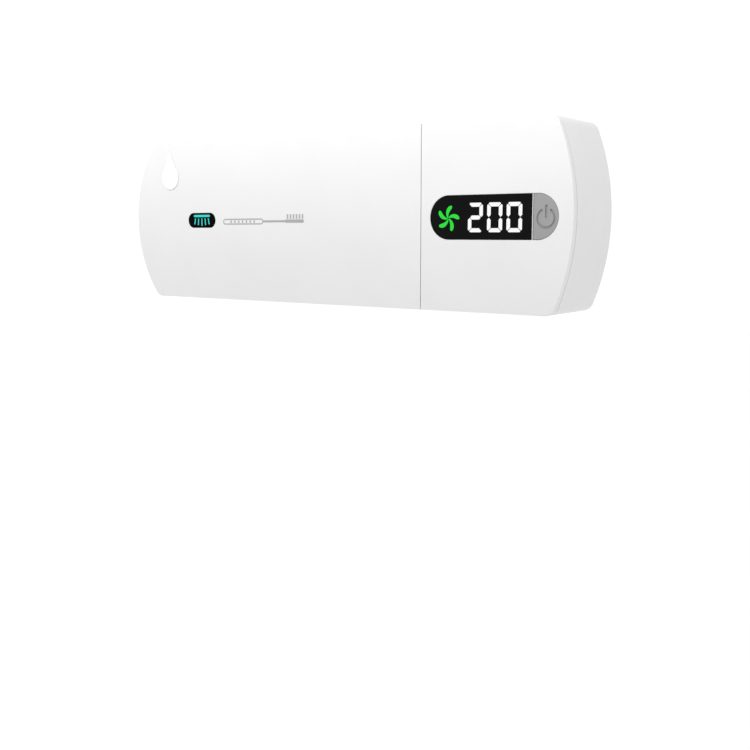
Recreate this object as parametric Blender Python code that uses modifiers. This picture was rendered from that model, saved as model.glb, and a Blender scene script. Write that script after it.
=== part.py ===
"""Wall-mounted toothbrush sanitizer: a bow-ended box with a flip-up door and a control end.

The frame is in metres, +Z up. The wall is the plane Y = 0, the object stands out towards -Y,
X runs along its length and the origin is the centre of the adhesive pad's wall side.
"""

from math import acos, atan2, cos, hypot, pi, radians, sin, sqrt

import bmesh
import bpy
from mathutils import Matrix, Vector

MM = 0.001

# Body
LENGTH = 224.6 * MM
HEIGHT = 70.0 * MM
DEPTH = 33.0 * MM
REAR_Y = -1.5 * MM
FRONT_Y = REAR_Y - DEPTH
LEFT_END_RADIUS = 54.0 * MM
RIGHT_END_RADIUS = 86.0 * MM
CORNER_RADIUS = 4.5 * MM
WALL = 2.0 * MM
COVER = 2.5 * MM
GAP = 0.3 * MM
EDGE_ROUND = 0.4 * MM
SEAM_X = 49.3 * MM
COVER_BACK_Y = FRONT_Y + COVER
PART_LINE_Y = COVER_BACK_Y + GAP
TOP_Z = HEIGHT / 2
FLOOR_Z = -TOP_Z + WALL

# Back wall and wall bracket
BACK_OUTER_Y = -3.5 * MM
BACK_INNER_Y = BACK_OUTER_Y - WALL
PAD_THICK = 0.9 * MM
PAD_SIZE = (86.0 * MM, 34.0 * MM)
BRACKET_Y = (-3.0 * MM, -1.2 * MM)
BRACKET_SIZE = (96.0 * MM, 42.0 * MM)
BRACKET_HOLE_X = 45.2 * MM
BRACKET_HOLE_RADIUS = 1.3 * MM
HOOK_XS = (-30.0 * MM, 30.0 * MM)
HOOK_HALF = 5.0 * MM
HOOK_Y = (-7.6 * MM, -6.1 * MM)
HOOK_Z = (2.0 * MM, 10.0 * MM)
HOOK_BAR = 2.0 * MM
HOOK_ROOT_Y = BRACKET_Y[0] + 0.5 * MM
WINDOW_HEIGHT = 9.3 * MM

# Door hinge
HINGE_DROP = 2.5 * MM
HINGE_Z = TOP_Z - HINGE_DROP
HINGE_Y = COVER_BACK_Y + 3.0 * MM
KNUCKLE_XS = (-88.0 * MM, 41.0 * MM)
KNUCKLE_HALF = 3.0 * MM
KNUCKLE_RADIUS = 2.2 * MM
PIN_RADIUS = 1.0 * MM
PIN_CLEARANCE = 0.1 * MM
LUG_THICK = 2.0 * MM
EAR_ROOT = 0.6 * MM

# Brush slots, rack and grips
SLOT_PITCH = 26.43 * MM
SLOT_COUNT = 5
SLOT_MIDDLE_X = -27.75 * MM
SLOT_XS = [SLOT_MIDDLE_X + (k - (SLOT_COUNT - 1) / 2) * SLOT_PITCH for k in range(SLOT_COUNT)]
SLOT_Y = -17.0 * MM
SLOT_HALF = 6.0 * MM
RACK_X = (-89.5 * MM, 34.5 * MM)
RACK_Y = (-30.0 * MM, -7.0 * MM)
RACK_Z = (-30.9 * MM, -28.5 * MM)
RACK_SLOT_HALF = 5.0 * MM
RACK_FOOT_XS = (-67.4 * MM, 11.9 * MM)
RACK_FOOT_Y = RACK_Y[1] - 3.0 * MM
RACK_FOOT_RADIUS = 2.6 * MM
GRIP_OUTER = 4.7 * MM
GRIP_INNER = 3.4 * MM
GRIP_FLANGE = 6.4 * MM
GRIP_Z = (-32.4 * MM, -28.2 * MM, -27.0 * MM)

# Ultraviolet lamp
LAMP_Y = -14.0 * MM
LAMP_Z = 24.5 * MM
LAMP_X = (-80.0 * MM, 28.0 * MM)
LAMP_RADIUS = 3.5 * MM
LAMP_CAP = 5.5 * MM
REFLECTOR_X = (-70.0 * MM, 18.0 * MM)
REFLECTOR_RADIUS = 7.0 * MM
REFLECTOR_THICK = 0.6 * MM
REFLECTOR_SWEEP = (-55, 140)
CLIP_XS = (-75.0 * MM, 23.0 * MM)
CLIP_HALF = 2.0 * MM
CLIP_THICK = 1.2 * MM
CLIP_MOUTH = 50

# Magnets and strikes
MAGNET_XS = (-94.0 * MM, 39.0 * MM)
MAGNET_Z = -28.6 * MM
MAGNET_RADIUS = 2.5 * MM
MAGNET_THICK = 1.2 * MM
STRIKE_BOSS_HALF = 4.0 * MM
STRIKE_BOSS_DEPTH = 5.0 * MM

# Partition and fan
PARTITION_X = (47.0 * MM, 49.0 * MM)
FAN_X = (49.3 * MM, 55.3 * MM)
FAN_Y = -17.0 * MM
FAN_Z = -21.5 * MM
FAN_HALF = 10.0 * MM
FAN_BORE = 9.3 * MM
FAN_BLADES = 5
FAN_HUB = 3.8 * MM
FAN_BLADE = (2.3 * MM, 3.0 * MM, 8.7 * MM, 0.4 * MM)
FAN_PITCH = 55
GRILLE_PITCH = 2.4 * MM
GRILLE_HALF = 0.8 * MM

# Vents in the floor
VENT_X = 69.0 * MM
VENT_Y = -19.0 * MM
VENT_PITCH = 3.2 * MM
VENT_HALF_LENGTH = 7.0 * MM
VENT_HALF_WIDTH = 0.9 * MM

# Display end
PILL_LEFT = 53.5 * MM
PILL_RIGHT = 106.6 * MM
PILL_HALF = 8.2 * MM
RIB_X = (96.25 * MM, 96.55 * MM)
KEY_LEFT = 96.7 * MM
RIB_SINK = 0.25 * MM
LENS_THICK = 1.5 * MM
KEY_TRAVEL = 0.6 * MM
FIT = 0.15 * MM
POST_SPOTS = [(x, z) for x in (60.5 * MM, 99.0 * MM) for z in (-27.8 * MM, 27.8 * MM)]
STANDOFF_SPOTS = [(x, z) for x in (61.0 * MM, 103.0 * MM) for z in (-11.0 * MM, 11.0 * MM)]
DISPLAY_BOARD_Y = (-27.6 * MM, -26.0 * MM)
MAIN_BOARD_Y = (-11.6 * MM, -10.0 * MM)
MAIN_BOARD_SPOTS = [(64.0 * MM, 0.0), (101.0 * MM, 0.0)]
DISPLAY_BOARD_SIZE = (57.5 * MM, 106.0 * MM, 13.6 * MM)
MAIN_BOARD_SIZE = (60.0 * MM, 105.0 * MM, 12.0 * MM)
MODULE_SIZE = (57.5 * MM, 94.5 * MM, 7.6 * MM)
SWITCH_SIZE = (98.0 * MM, 104.0 * MM, 3.0 * MM)
POST_RADIUS = 2.8 * MM
STANDOFF_RADIUS = 2.2 * MM
BLOCK_ROUND = 0.4 * MM

# Electronics: lowest and highest corner of each block
BATTERY_BOX = ((64.5 * MM, -18.0 * MM, 13.2 * MM), (95.0 * MM, -6.0 * MM, 31.6 * MM))
DRIVER_BOX = ((66.0 * MM, -20.0 * MM, -31.0 * MM), (82.0 * MM, -8.0 * MM, -15.0 * MM))
SENSOR_BOX = ((49.6 * MM, -31.0 * MM, -30.0 * MM), (52.6 * MM, -28.0 * MM, -22.0 * MM))

# Screws and the holes that they pass or bite
SCREW_HEAD = 2.0 * MM
SCREW_HEAD_HEIGHT = 1.2 * MM
SCREW_SHANK = 1.0 * MM
SCREW_HOLE = 1.3 * MM
POST_HOLE = 1.7 * MM

# Charging port
PORT_X = 89.5 * MM
PORT_Y = -15.0 * MM
PORT_HALF = (4.47 * MM, 1.63 * MM)
PORT_DEPTH = 7.3 * MM
TONGUE_HALF = (3.2 * MM, 0.35 * MM)

# Front marks
BADGE_X = (-77.8 * MM, -60.6 * MM)
BADGE_HALF = 3.3 * MM
EMBLEM_X = -89.0 * MM
EMBLEM_Z = 19.4 * MM
EMBLEM_RADIUS = 5.4 * MM
EMBLEM_TIP = 12.0 * MM
PROUD = 0.4 * MM

END_SEGMENTS = 14
CORNER_SEGMENTS = 4
ROUND_SEGMENTS = 20

FACING = {
    "X": Matrix(((0, 0, 1, 0), (1, 0, 0, 0), (0, 1, 0, 0), (0, 0, 0, 1))),
    "Y": Matrix(((1, 0, 0, 0), (0, 0, -1, 0), (0, 1, 0, 0), (0, 0, 0, 1))),
    "Z": Matrix.Identity(4),
}

HEAD_SIDE = {
    "front": FACING["Y"],
    "rear": FACING["Y"] @ Matrix.Rotation(pi, 4, "X"),
    "upper": FACING["Z"],
}

FINISHES = {
    "white_shell": ((0.90, 0.90, 0.90), 0.35, 0.0),
    "rack_plastic": ((0.80, 0.81, 0.82), 0.45, 0.0),
    "grip_rubber": ((0.55, 0.58, 0.60), 0.80, 0.0),
    "black_glass": ((0.01, 0.01, 0.012), 0.08, 0.0),
    "key_grey": ((0.38, 0.38, 0.39), 0.45, 0.0),
    "badge_black": ((0.02, 0.02, 0.02), 0.25, 0.0),
    "steel": ((0.62, 0.62, 0.64), 0.35, 1.0),
    "magnet_nickel": ((0.70, 0.70, 0.70), 0.25, 1.0),
    "mirror_aluminium": ((0.85, 0.86, 0.88), 0.15, 1.0),
    "lamp_glass": ((0.85, 0.90, 0.98), 0.05, 0.0),
    "board_green": ((0.03, 0.20, 0.09), 0.50, 0.0),
    "part_black": ((0.03, 0.03, 0.03), 0.50, 0.0),
    "cell_wrap": ((0.12, 0.25, 0.55), 0.45, 0.0),
    "foam_tape": ((0.25, 0.25, 0.26), 0.90, 0.0),
}


def clear_scene():
    """Remove what the file opened with."""
    for thing in list(bpy.data.objects):
        bpy.data.objects.remove(thing)


def new_collection(name):
    """Make a collection in the scene."""
    made = bpy.data.collections.new(name)
    bpy.context.scene.collection.children.link(made)
    return made


clear_scene()
PARTS = new_collection("toothbrush_sanitizer")
CUTTERS = new_collection("cutters")


def new_material(name, finish):
    """Principled material for one sub-part."""
    colour, roughness, metallic = FINISHES[finish]
    made = bpy.data.materials.new(name)
    made.use_nodes = True
    shader = made.node_tree.nodes["Principled BSDF"]
    shader.inputs["Base Color"].default_value = (*colour, 1.0)
    shader.inputs["Roughness"].default_value = roughness
    shader.inputs["Metallic"].default_value = metallic
    return made


def adopt(piece, name, finish):
    """Name a piece, give it its material and move it to the parts."""
    piece.name = name
    piece.data.name = name
    piece.data.materials.clear()
    piece.data.materials.append(new_material(name, finish))
    for holder in list(piece.users_collection):
        holder.objects.unlink(piece)
    PARTS.objects.link(piece)
    piece.data.shade_smooth()
    piece.data.set_sharp_from_angle(angle=radians(35))
    return piece


def arc(centre, radius, start, end, segments):
    """Points on an arc with both ends, angles in radians."""
    turns = [start + (end - start) * k / segments for k in range(segments + 1)]
    return [(centre[0] + radius * cos(turn), centre[1] + radius * sin(turn)) for turn in turns]


def circle(centre, radius, segments=ROUND_SEGMENTS):
    """Closed round outline."""
    return arc(centre, radius, 0.0, 2 * pi, segments)[:-1]


def rectangle(low_u, high_u, low_v, high_v):
    """Closed four-cornered outline."""
    return [(low_u, low_v), (high_u, low_v), (high_u, high_v), (low_u, high_v)]


def pill(left, right, half, round_left=True, round_right=True):
    """Closed bar outline about v = 0 whose ends are half circles or square."""
    points = [(right, -half), (right, half)]
    if round_right:
        points = arc((right - half, 0.0), half, -pi / 2, pi / 2, ROUND_SEGMENTS // 2)
    if round_left:
        return points + arc((left + half, 0.0), half, pi / 2, 3 * pi / 2, ROUND_SEGMENTS // 2)
    return points + [(left, half), (left, -half)]


def shifted(outline, u, v):
    """Outline moved in its own plane."""
    return [(point[0] + u, point[1] + v) for point in outline]


def end_curve(side, inset=0.0):
    """Points down one bowed end, top to bottom; side is 1 on the right and -1 on the left."""
    bow_radius = RIGHT_END_RADIUS if side > 0 else LEFT_END_RADIUS
    centre = LENGTH / 2 - bow_radius
    lift = TOP_Z - CORNER_RADIUS
    corner = centre + sqrt((bow_radius - CORNER_RADIUS) ** 2 - lift ** 2)
    turn = atan2(lift, corner - centre)
    small = CORNER_RADIUS - inset
    upper = arc((corner, lift), small, pi / 2, turn, CORNER_SEGMENTS)
    bow = arc((centre, 0.0), bow_radius - inset, turn, -turn, END_SEGMENTS)
    lower = arc((corner, -lift), small, -turn, -pi / 2, CORNER_SEGMENTS)
    return [(side * u, v) for u, v in upper[:-1] + bow + lower[1:]]


def body_outline(inset=0.0):
    """Whole front outline of the body."""
    return end_curve(1, inset) + end_curve(-1, inset)[::-1]


def door_outline():
    """Left part of the front, up to the seam."""
    edge = SEAM_X - GAP / 2
    return [(edge, TOP_Z), (edge, -TOP_Z)] + end_curve(-1)[::-1]


def panel_outline():
    """Right part of the front, from the seam."""
    edge = SEAM_X + GAP / 2
    return end_curve(1) + [(edge, -TOP_Z), (edge, TOP_Z)]


def u_slot(x, half, mouth_y):
    """Open outline of a slot: in at the mouth, round the closed end and out again."""
    return [(x - half, mouth_y)] + arc((x, SLOT_Y), half, pi, 0.0, 10) + [(x + half, mouth_y)]


def plate(name, loops, low, high, facing, finish="part_black"):
    """Flat outline with its holes, extruded between two levels along the axis that it faces."""
    curve = bpy.data.curves.new(name + "_outline", "CURVE")
    curve.dimensions = "2D"
    curve.fill_mode = "BOTH"
    curve.extrude = (high - low) / 2
    for loop in loops:
        spline = curve.splines.new("POLY")
        spline.points.add(len(loop) - 1)
        for point, (u, v) in zip(spline.points, loop):
            point.co = (u, v, 0.0, 1.0)
        spline.use_cyclic_u = True
    guide = bpy.data.objects.new(name + "_outline", curve)
    bpy.context.scene.collection.objects.link(guide)
    sense = -1 if facing == "Y" else 1
    middle = Matrix.Translation((0.0, 0.0, sense * (low + high) / 2))
    guide.matrix_world = FACING[facing] @ middle
    bpy.context.view_layer.update()
    graph = bpy.context.evaluated_depsgraph_get()
    mesh = bpy.data.meshes.new_from_object(guide.evaluated_get(graph))
    piece = bpy.data.objects.new(name, mesh)
    piece.matrix_world = guide.matrix_world
    bpy.data.objects.remove(guide)
    shape = bmesh.new()
    shape.from_mesh(mesh)
    bmesh.ops.remove_doubles(shape, verts=shape.verts, dist=1e-7)
    bmesh.ops.dissolve_limit(shape, angle_limit=radians(0.5), verts=shape.verts, edges=shape.edges)
    bmesh.ops.recalc_face_normals(shape, faces=shape.faces)
    shape.to_mesh(mesh)
    shape.free()
    return adopt(piece, name, finish)


def block(name, low, high, finish="part_black", round_by=0.0):
    """Box between two corners, with its edges rounded if asked."""
    low, high = Vector(low), Vector(high)
    bpy.ops.mesh.primitive_cube_add(size=1.0, location=(low + high) / 2)
    piece = bpy.context.active_object
    piece.data.transform(Matrix.Diagonal((*(high - low), 1.0)))
    if round_by:
        bevel = piece.modifiers.new("round", "BEVEL")
        bevel.width = round_by
        bevel.segments = 2
    return adopt(piece, name, finish)


def turned(name, profile, place, turn, segments=12):
    """Steel solid of revolution; the profile is (radius, height) pairs from the top down."""
    mesh = bpy.data.meshes.new(name)
    ends = [(index, index + 1) for index in range(len(profile) - 1)]
    mesh.from_pydata([(radius, 0.0, height) for radius, height in profile], ends, [])
    piece = bpy.data.objects.new(name, mesh)
    screw = piece.modifiers.new("turn", "SCREW")
    screw.steps = segments
    screw.render_steps = segments
    screw.use_merge_vertices = True
    screw.merge_threshold = 0.00001
    piece.matrix_world = Matrix.Translation(place) @ turn
    return adopt(piece, name, "steel")


def combine(target, tool, operation):
    """Boolean of a piece with a tool that then leaves the parts."""
    step = target.modifiers.new(tool.name, "BOOLEAN")
    step.operation = operation
    step.solver = "EXACT"
    step.object = tool
    PARTS.objects.unlink(tool)
    CUTTERS.objects.link(tool)
    tool.hide_render = True
    tool.display_type = "WIRE"


def cut(target, tool):
    """Remove the tool's volume from the target."""
    combine(target, tool, "DIFFERENCE")


def join(target, tool):
    """Add the tool's volume to the target."""
    combine(target, tool, "UNION")


def round_rim(piece, level, width, segments):
    """Bevel the outline's edges at one Y level."""
    weights = piece.data.attributes.new("bevel_weight_edge", "FLOAT", "EDGE")
    for edge in piece.data.edges:
        ends = [piece.matrix_world @ piece.data.vertices[index].co for index in edge.vertices]
        weights.data[edge.index].value = float(all(abs(end.y - level) < 0.01 * MM for end in ends))
    bevel = piece.modifiers.new("rim", "BEVEL")
    bevel.limit_method = "WEIGHT"
    bevel.width = width
    bevel.segments = segments


def on_axis(name, place, pieces):
    """Parent the moving pieces to an empty on their joint's axis."""
    axis = bpy.data.objects.new(name, None)
    axis.location = place
    PARTS.objects.link(axis)
    bpy.context.view_layer.update()
    for piece in pieces:
        piece.parent = axis
        piece.matrix_parent_inverse = axis.matrix_world.inverted()


def make_wall_mount():
    """Adhesive pad and the bracket whose two hooks carry the body."""
    half_x, half_z = PAD_SIZE[0] / 2, PAD_SIZE[1] / 2
    outline = rectangle(-half_x, half_x, -half_z, half_z)
    plate("adhesive_pad", [outline], -PAD_THICK, 0.0, "Y", "foam_tape")
    half_x, half_z = BRACKET_SIZE[0] / 2, BRACKET_SIZE[1] / 2
    holes = [circle((side * BRACKET_HOLE_X, 0.0), BRACKET_HOLE_RADIUS) for side in (-1, 1)]
    outline = rectangle(-half_x, half_x, -half_z, half_z)
    bracket = plate("wall_bracket", [outline] + holes, *BRACKET_Y, "Y", "steel")
    for number, x in enumerate(HOOK_XS, 1):
        outline = [
            (HOOK_ROOT_Y, HOOK_Z[0]),
            (HOOK_ROOT_Y, HOOK_Z[0] + HOOK_BAR),
            (HOOK_Y[1], HOOK_Z[0] + HOOK_BAR),
            (HOOK_Y[1], HOOK_Z[1]),
            (HOOK_Y[0], HOOK_Z[1]),
            (HOOK_Y[0], HOOK_Z[0]),
        ]
        join(bracket, plate(f"hook_{number}", [outline], x - HOOK_HALF, x + HOOK_HALF, "X"))


def knuckle_profile(reach):
    """Side view of a hinge ear: round about the pin, with a root that reaches out by (y, z)."""
    eye = (HINGE_Y, HINGE_Z)
    toward = atan2(reach[1], reach[0])
    ring = arc(eye, KNUCKLE_RADIUS, toward + pi / 2, toward + 3 * pi / 2, 12)
    length = hypot(*reach)
    root = [(u + length * cos(toward), v + length * sin(toward)) for u, v in (ring[-1], ring[0])]
    return ring + root


def make_housing():
    """Tub that everything else is fixed to."""
    housing = plate("rear_housing", [body_outline()], PART_LINE_Y, REAR_Y, "Y", "white_shell")
    round_rim(housing, REAR_Y, EDGE_ROUND, 2)
    inner = body_outline(WALL)
    cut(housing, plate("front_hollow", [inner], FRONT_Y - WALL, BACK_INNER_Y, "Y"))
    cut(housing, plate("rear_recess", [inner], BACK_OUTER_Y, WALL, "Y"))

    slots = [u_slot(x, SLOT_HALF, FRONT_Y) for x in SLOT_XS]
    vent = [(v, u) for u, v in pill(-VENT_HALF_LENGTH, VENT_HALF_LENGTH, VENT_HALF_WIDTH)]
    vents = [shifted(vent, VENT_X + k * VENT_PITCH, VENT_Y) for k in range(-3, 4)]
    port = port_outline(GAP)
    cut(housing, plate("floor_openings", slots + vents + [port], -TOP_Z - WALL, FLOOR_Z + GAP, "Z"))

    ramp_foot_z = TOP_Z - WALL - 0.1 * MM
    ramp_top_y = HINGE_Y - 1.0 * MM
    ramp = [
        (PART_LINE_Y - WALL, ramp_foot_z),
        (PART_LINE_Y + 0.05 * MM, ramp_foot_z),
        (ramp_top_y, TOP_Z),
        (ramp_top_y, TOP_Z + WALL),
        (PART_LINE_Y - WALL, TOP_Z + WALL),
    ]
    cut(housing, plate("door_swing_ramp", [ramp], -LENGTH / 2 - WALL, SEAM_X, "X"))

    half = KNUCKLE_HALF + GAP
    notch_back = HINGE_Y + KNUCKLE_RADIUS + GAP
    notches = [rectangle(x - half, x + half, FRONT_Y, notch_back) for x in KNUCKLE_XS]
    for number, x in enumerate(KNUCKLE_XS, 1):
        for side in (-1, 1):
            near, far = sorted((x + side * half, x + side * (half + LUG_THICK)))
            ear = knuckle_profile((0.0, HINGE_DROP - 1.0 * MM))
            join(housing, plate(f"lug_{number}_{side}", [ear], near, far, "X"))
        bore = circle((HINGE_Y, HINGE_Z), PIN_RADIUS + PIN_CLEARANCE, 16)
        reach = half + LUG_THICK + GAP
        cut(housing, plate(f"pin_bore_{number}", [bore], x - reach, x + reach, "X"))
    cut(housing, plate("knuckle_notches", notches, TOP_Z - WALL - GAP, TOP_Z + WALL, "Z"))

    windows = [
        rectangle(x - HOOK_HALF - GAP, x + HOOK_HALF + GAP, *window_span()) for x in HOOK_XS
    ]
    holes = [circle(spot, POST_HOLE, 16) for spot in POST_SPOTS]
    span = (BACK_INNER_Y - GAP, BACK_OUTER_Y + GAP)
    cut(housing, plate("back_openings", windows + holes, *span, "Y"))

    for number, x in enumerate(MAGNET_XS, 1):
        low = (x - STRIKE_BOSS_HALF, PART_LINE_Y, FLOOR_Z - WALL / 2)
        high_y = PART_LINE_Y + STRIKE_BOSS_DEPTH
        high = (x + STRIKE_BOSS_HALF, high_y, MAGNET_Z + STRIKE_BOSS_HALF)
        join(housing, block(f"strike_boss_{number}", low, high))
    pockets = [circle((x, MAGNET_Z), MAGNET_RADIUS + 0.2 * MM) for x in MAGNET_XS]
    depth = PART_LINE_Y + MAGNET_THICK + GAP
    cut(housing, plate("strike_pockets", pockets, PART_LINE_Y - WALL, depth, "Y"))

    bosses = []
    for spot in MAIN_BOARD_SPOTS:
        bosses += [circle(spot, POST_RADIUS, 16), circle(spot, SCREW_HOLE, 16)]
    far_end = BACK_INNER_Y + WALL / 2
    join(housing, plate("board_bosses", bosses, MAIN_BOARD_Y[1] + GAP, far_end, "Y"))

    feet = []
    for x in RACK_FOOT_XS:
        spot = (x, RACK_FOOT_Y)
        feet += [circle(spot, RACK_FOOT_RADIUS, 16), circle(spot, SCREW_HOLE, 16)]
    join(housing, plate("rack_feet", feet, FLOOR_Z - WALL / 2, RACK_Z[0] - GAP, "Z"))


def window_span():
    """Lowest and highest Z of the windows that the hooks pass through."""
    top = HOOK_Z[0] + HOOK_BAR + GAP
    return top - WINDOW_HEIGHT, top


def make_door():
    """Flip-up front door with its hinge pins, magnets, badge and emblem."""
    door = plate("door", [door_outline()], FRONT_Y, COVER_BACK_Y, "Y", "white_shell")
    round_rim(door, FRONT_Y, EDGE_ROUND, 3)
    ear = knuckle_profile((COVER_BACK_Y - EAR_ROOT - HINGE_Y, 0.0))
    bore = circle((HINGE_Y, HINGE_Z), PIN_RADIUS + PIN_CLEARANCE, 16)
    for number, x in enumerate(KNUCKLE_XS, 1):
        low, high = x - KNUCKLE_HALF, x + KNUCKLE_HALF
        join(door, plate(f"knuckle_{number}", [ear, bore], low, high, "X"))
    pockets = [circle((x, MAGNET_Z), MAGNET_RADIUS + 0.2 * MM) for x in MAGNET_XS]
    pocket_y = COVER_BACK_Y - MAGNET_THICK - GAP
    cut(door, plate("magnet_pockets", pockets, pocket_y, COVER_BACK_Y + WALL, "Y"))
    badge = pill(BADGE_X[0] - FIT, BADGE_X[1] + FIT, BADGE_HALF + FIT)
    emblem = drop_outline(FIT)
    seat = FRONT_Y + 1.0 * MM
    cut(door, plate("front_seats", [badge, emblem], FRONT_Y - WALL, seat, "Y"))

    pieces = [door]
    outline = pill(BADGE_X[0], BADGE_X[1], BADGE_HALF)
    pieces.append(plate("door_badge", [outline], FRONT_Y, seat - FIT, "Y", "badge_black"))
    relief = (FRONT_Y - PROUD, seat - FIT)
    pieces.append(plate("door_emblem", [drop_outline()], *relief, "Y", "white_shell"))
    for side, x in zip(("left", "right"), MAGNET_XS):
        disc = [circle((x, MAGNET_Z), MAGNET_RADIUS)]
        magnet_y = (COVER_BACK_Y - MAGNET_THICK, COVER_BACK_Y)
        pieces.append(plate(f"door_magnet_{side}", disc, *magnet_y, "Y", "magnet_nickel"))
        strike_y = PART_LINE_Y + MAGNET_THICK
        plate(f"strike_plate_{side}", disc, PART_LINE_Y, strike_y, "Y", "steel")
    for side, x in zip(("left", "right"), KNUCKLE_XS):
        reach = KNUCKLE_HALF + GAP + LUG_THICK
        pin = [circle((HINGE_Y, HINGE_Z), PIN_RADIUS, 16)]
        plate(f"hinge_pin_{side}", pin, x - reach, x + reach, "X", "steel")
    on_axis("door_axis", (0.0, HINGE_Y, HINGE_Z), pieces)


def drop_outline(grow=0.0):
    """Water drop: a round bowl closed by two straight flanks that meet at a tip."""
    radius = EMBLEM_RADIUS + grow
    tip = radius * EMBLEM_TIP / EMBLEM_RADIUS
    spread = acos(radius / tip)
    bowl = arc((0.0, 0.0), radius, pi / 2 + spread, 5 * pi / 2 - spread, 18)
    return shifted(bowl + [(0.0, tip)], EMBLEM_X, EMBLEM_Z)


def make_rack():
    """Comb that the brushes hang in, its screws and the soft grips round its slots."""
    outline = [(RACK_X[1], RACK_Y[1]), (RACK_X[0], RACK_Y[1]), (RACK_X[0], RACK_Y[0])]
    for x in SLOT_XS:
        outline += u_slot(x, RACK_SLOT_HALF, RACK_Y[0])
    outline.append((RACK_X[1], RACK_Y[0]))
    holes = [circle((x, RACK_FOOT_Y), SCREW_HOLE, 16) for x in RACK_FOOT_XS]
    plate("brush_rack", [outline] + holes, *RACK_Z, "Z", "rack_plastic")
    for number, x in enumerate(RACK_FOOT_XS, 1):
        place = (x, RACK_FOOT_Y, RACK_Z[1] + GAP)
        pan_screw(f"rack_screw_{number}", place, "upper", 4.5 * MM)
    for number, x in enumerate(SLOT_XS, 1):
        mouth = RACK_Y[0]
        inside = u_slot(x, GRIP_INNER, mouth)[::-1]
        sleeve = u_slot(x, GRIP_OUTER, mouth) + inside
        grip = plate(f"slot_grip_{number}", [sleeve], *GRIP_Z[:2], "Z", "grip_rubber")
        flange = u_slot(x, GRIP_FLANGE, mouth) + inside
        join(grip, plate(f"grip_flange_{number}", [flange], GRIP_Z[1] - 0.1 * MM, GRIP_Z[2], "Z"))


def pan_screw(name, place, head_side, length):
    """Pan-head screw seated at a place, with its head on the front, rear or upper side."""
    head, shank, height = SCREW_HEAD, SCREW_SHANK, SCREW_HEAD_HEIGHT
    dome = [(0.0, height), (0.7 * head, height), (head, 0.5 * height), (head, 0.0)]
    profile = dome + [(shank, 0.0), (shank, -length), (0.0, -length)]
    turned(name, profile, place, HEAD_SIDE[head_side])


def make_lamp():
    """Ultraviolet tube with end caps, clips and a curved reflector behind it."""
    axis = (LAMP_Y, LAMP_Z)
    plate("lamp_tube", [circle(axis, LAMP_RADIUS)], *LAMP_X, "X", "lamp_glass")
    cap = [circle(axis, LAMP_RADIUS + 0.8 * MM)]
    plate("lamp_cap_left", cap, LAMP_X[0] - GAP - LAMP_CAP, LAMP_X[0] - GAP, "X", "rack_plastic")
    plate("lamp_cap_right", cap, LAMP_X[1] + GAP, LAMP_X[1] + GAP + LAMP_CAP, "X", "rack_plastic")
    below, above = (radians(turn) for turn in REFLECTOR_SWEEP)
    outer = arc(axis, REFLECTOR_RADIUS + REFLECTOR_THICK, below, above, 14)
    inner = arc(axis, REFLECTOR_RADIUS, above, below, 14)
    plate("lamp_reflector", [outer + inner], *REFLECTOR_X, "X", "mirror_aluminium")
    hug = LAMP_RADIUS + GAP
    reach = pi - radians(CLIP_MOUTH)
    outer = arc(axis, hug + CLIP_THICK, reach, -reach, 14)
    inner = arc(axis, hug, -reach, reach, 14)
    for side, x in zip(("left", "right"), CLIP_XS):
        span = (x - CLIP_HALF, x + CLIP_HALF)
        clip = plate(f"lamp_clip_{side}", [outer + inner], *span, "X", "rack_plastic")
        low = (span[0], LAMP_Y + hug + CLIP_THICK / 3, LAMP_Z - CLIP_HALF)
        high = (span[1], BACK_INNER_Y - GAP, LAMP_Z + CLIP_HALF)
        join(clip, block(f"clip_stem_{side}", low, high))


def make_partition_and_fan():
    """Wall between bay and electronics, with the drying fan behind its grille."""
    outline = rectangle(PART_LINE_Y + GAP, BACK_INNER_Y - GAP, FLOOR_Z + GAP, TOP_Z - WALL - GAP)
    grille = []
    for k in range(-3, 4):
        middle = FAN_Y + k * GRILLE_PITCH
        half = sqrt(FAN_BORE ** 2 - (k * GRILLE_PITCH) ** 2) - 2 * GAP
        slot = rectangle(middle - GRILLE_HALF, middle + GRILLE_HALF, FAN_Z - half, FAN_Z + half)
        grille.append(slot)
    plate("partition", [outline] + grille, *PARTITION_X, "X", "white_shell")

    centre = (FAN_Y, FAN_Z)
    square = shifted(rectangle(-FAN_HALF, FAN_HALF, -FAN_HALF, FAN_HALF), *centre)
    frame = plate("fan_frame", [square, circle(centre, FAN_BORE, 28)], *FAN_X, "X", "part_black")
    spider_x = (FAN_X[1] - 1.2 * MM, FAN_X[1])
    bore = circle(centre, 1.0 * MM, 12)
    join(frame, plate("fan_spider", [spider_outline(), bore], *spider_x, "X"))

    rotor_x = (FAN_X[0] + 0.6 * MM, spider_x[0] - GAP)
    rotor = plate("fan_rotor", [circle(centre, FAN_HUB)], *rotor_x, "X", "part_black")
    shaft = [circle(centre, 0.8 * MM, 12)]
    join(rotor, plate("fan_shaft", shaft, rotor_x[1] - 0.5 * MM, FAN_X[1] - GAP, "X"))
    half_chord, root, tip, half_thick = FAN_BLADE
    pitch = Matrix.Rotation(radians(FAN_PITCH), 4, "Y")
    for k in range(FAN_BLADES):
        low = (-half_chord, root, -half_thick)
        blade = block(f"blade_{k}", low, (half_chord, tip, half_thick))
        blade.data.transform(Matrix.Translation(blade.location))
        around = Matrix.Rotation(2 * pi * k / FAN_BLADES, 4, "X")
        middle = Vector(((rotor_x[0] + rotor_x[1]) / 2, FAN_Y, FAN_Z))
        blade.matrix_world = Matrix.Translation(middle) @ around @ pitch
        join(rotor, blade)
    on_axis("fan_axis", (rotor_x[0], FAN_Y, FAN_Z), [rotor])


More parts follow.
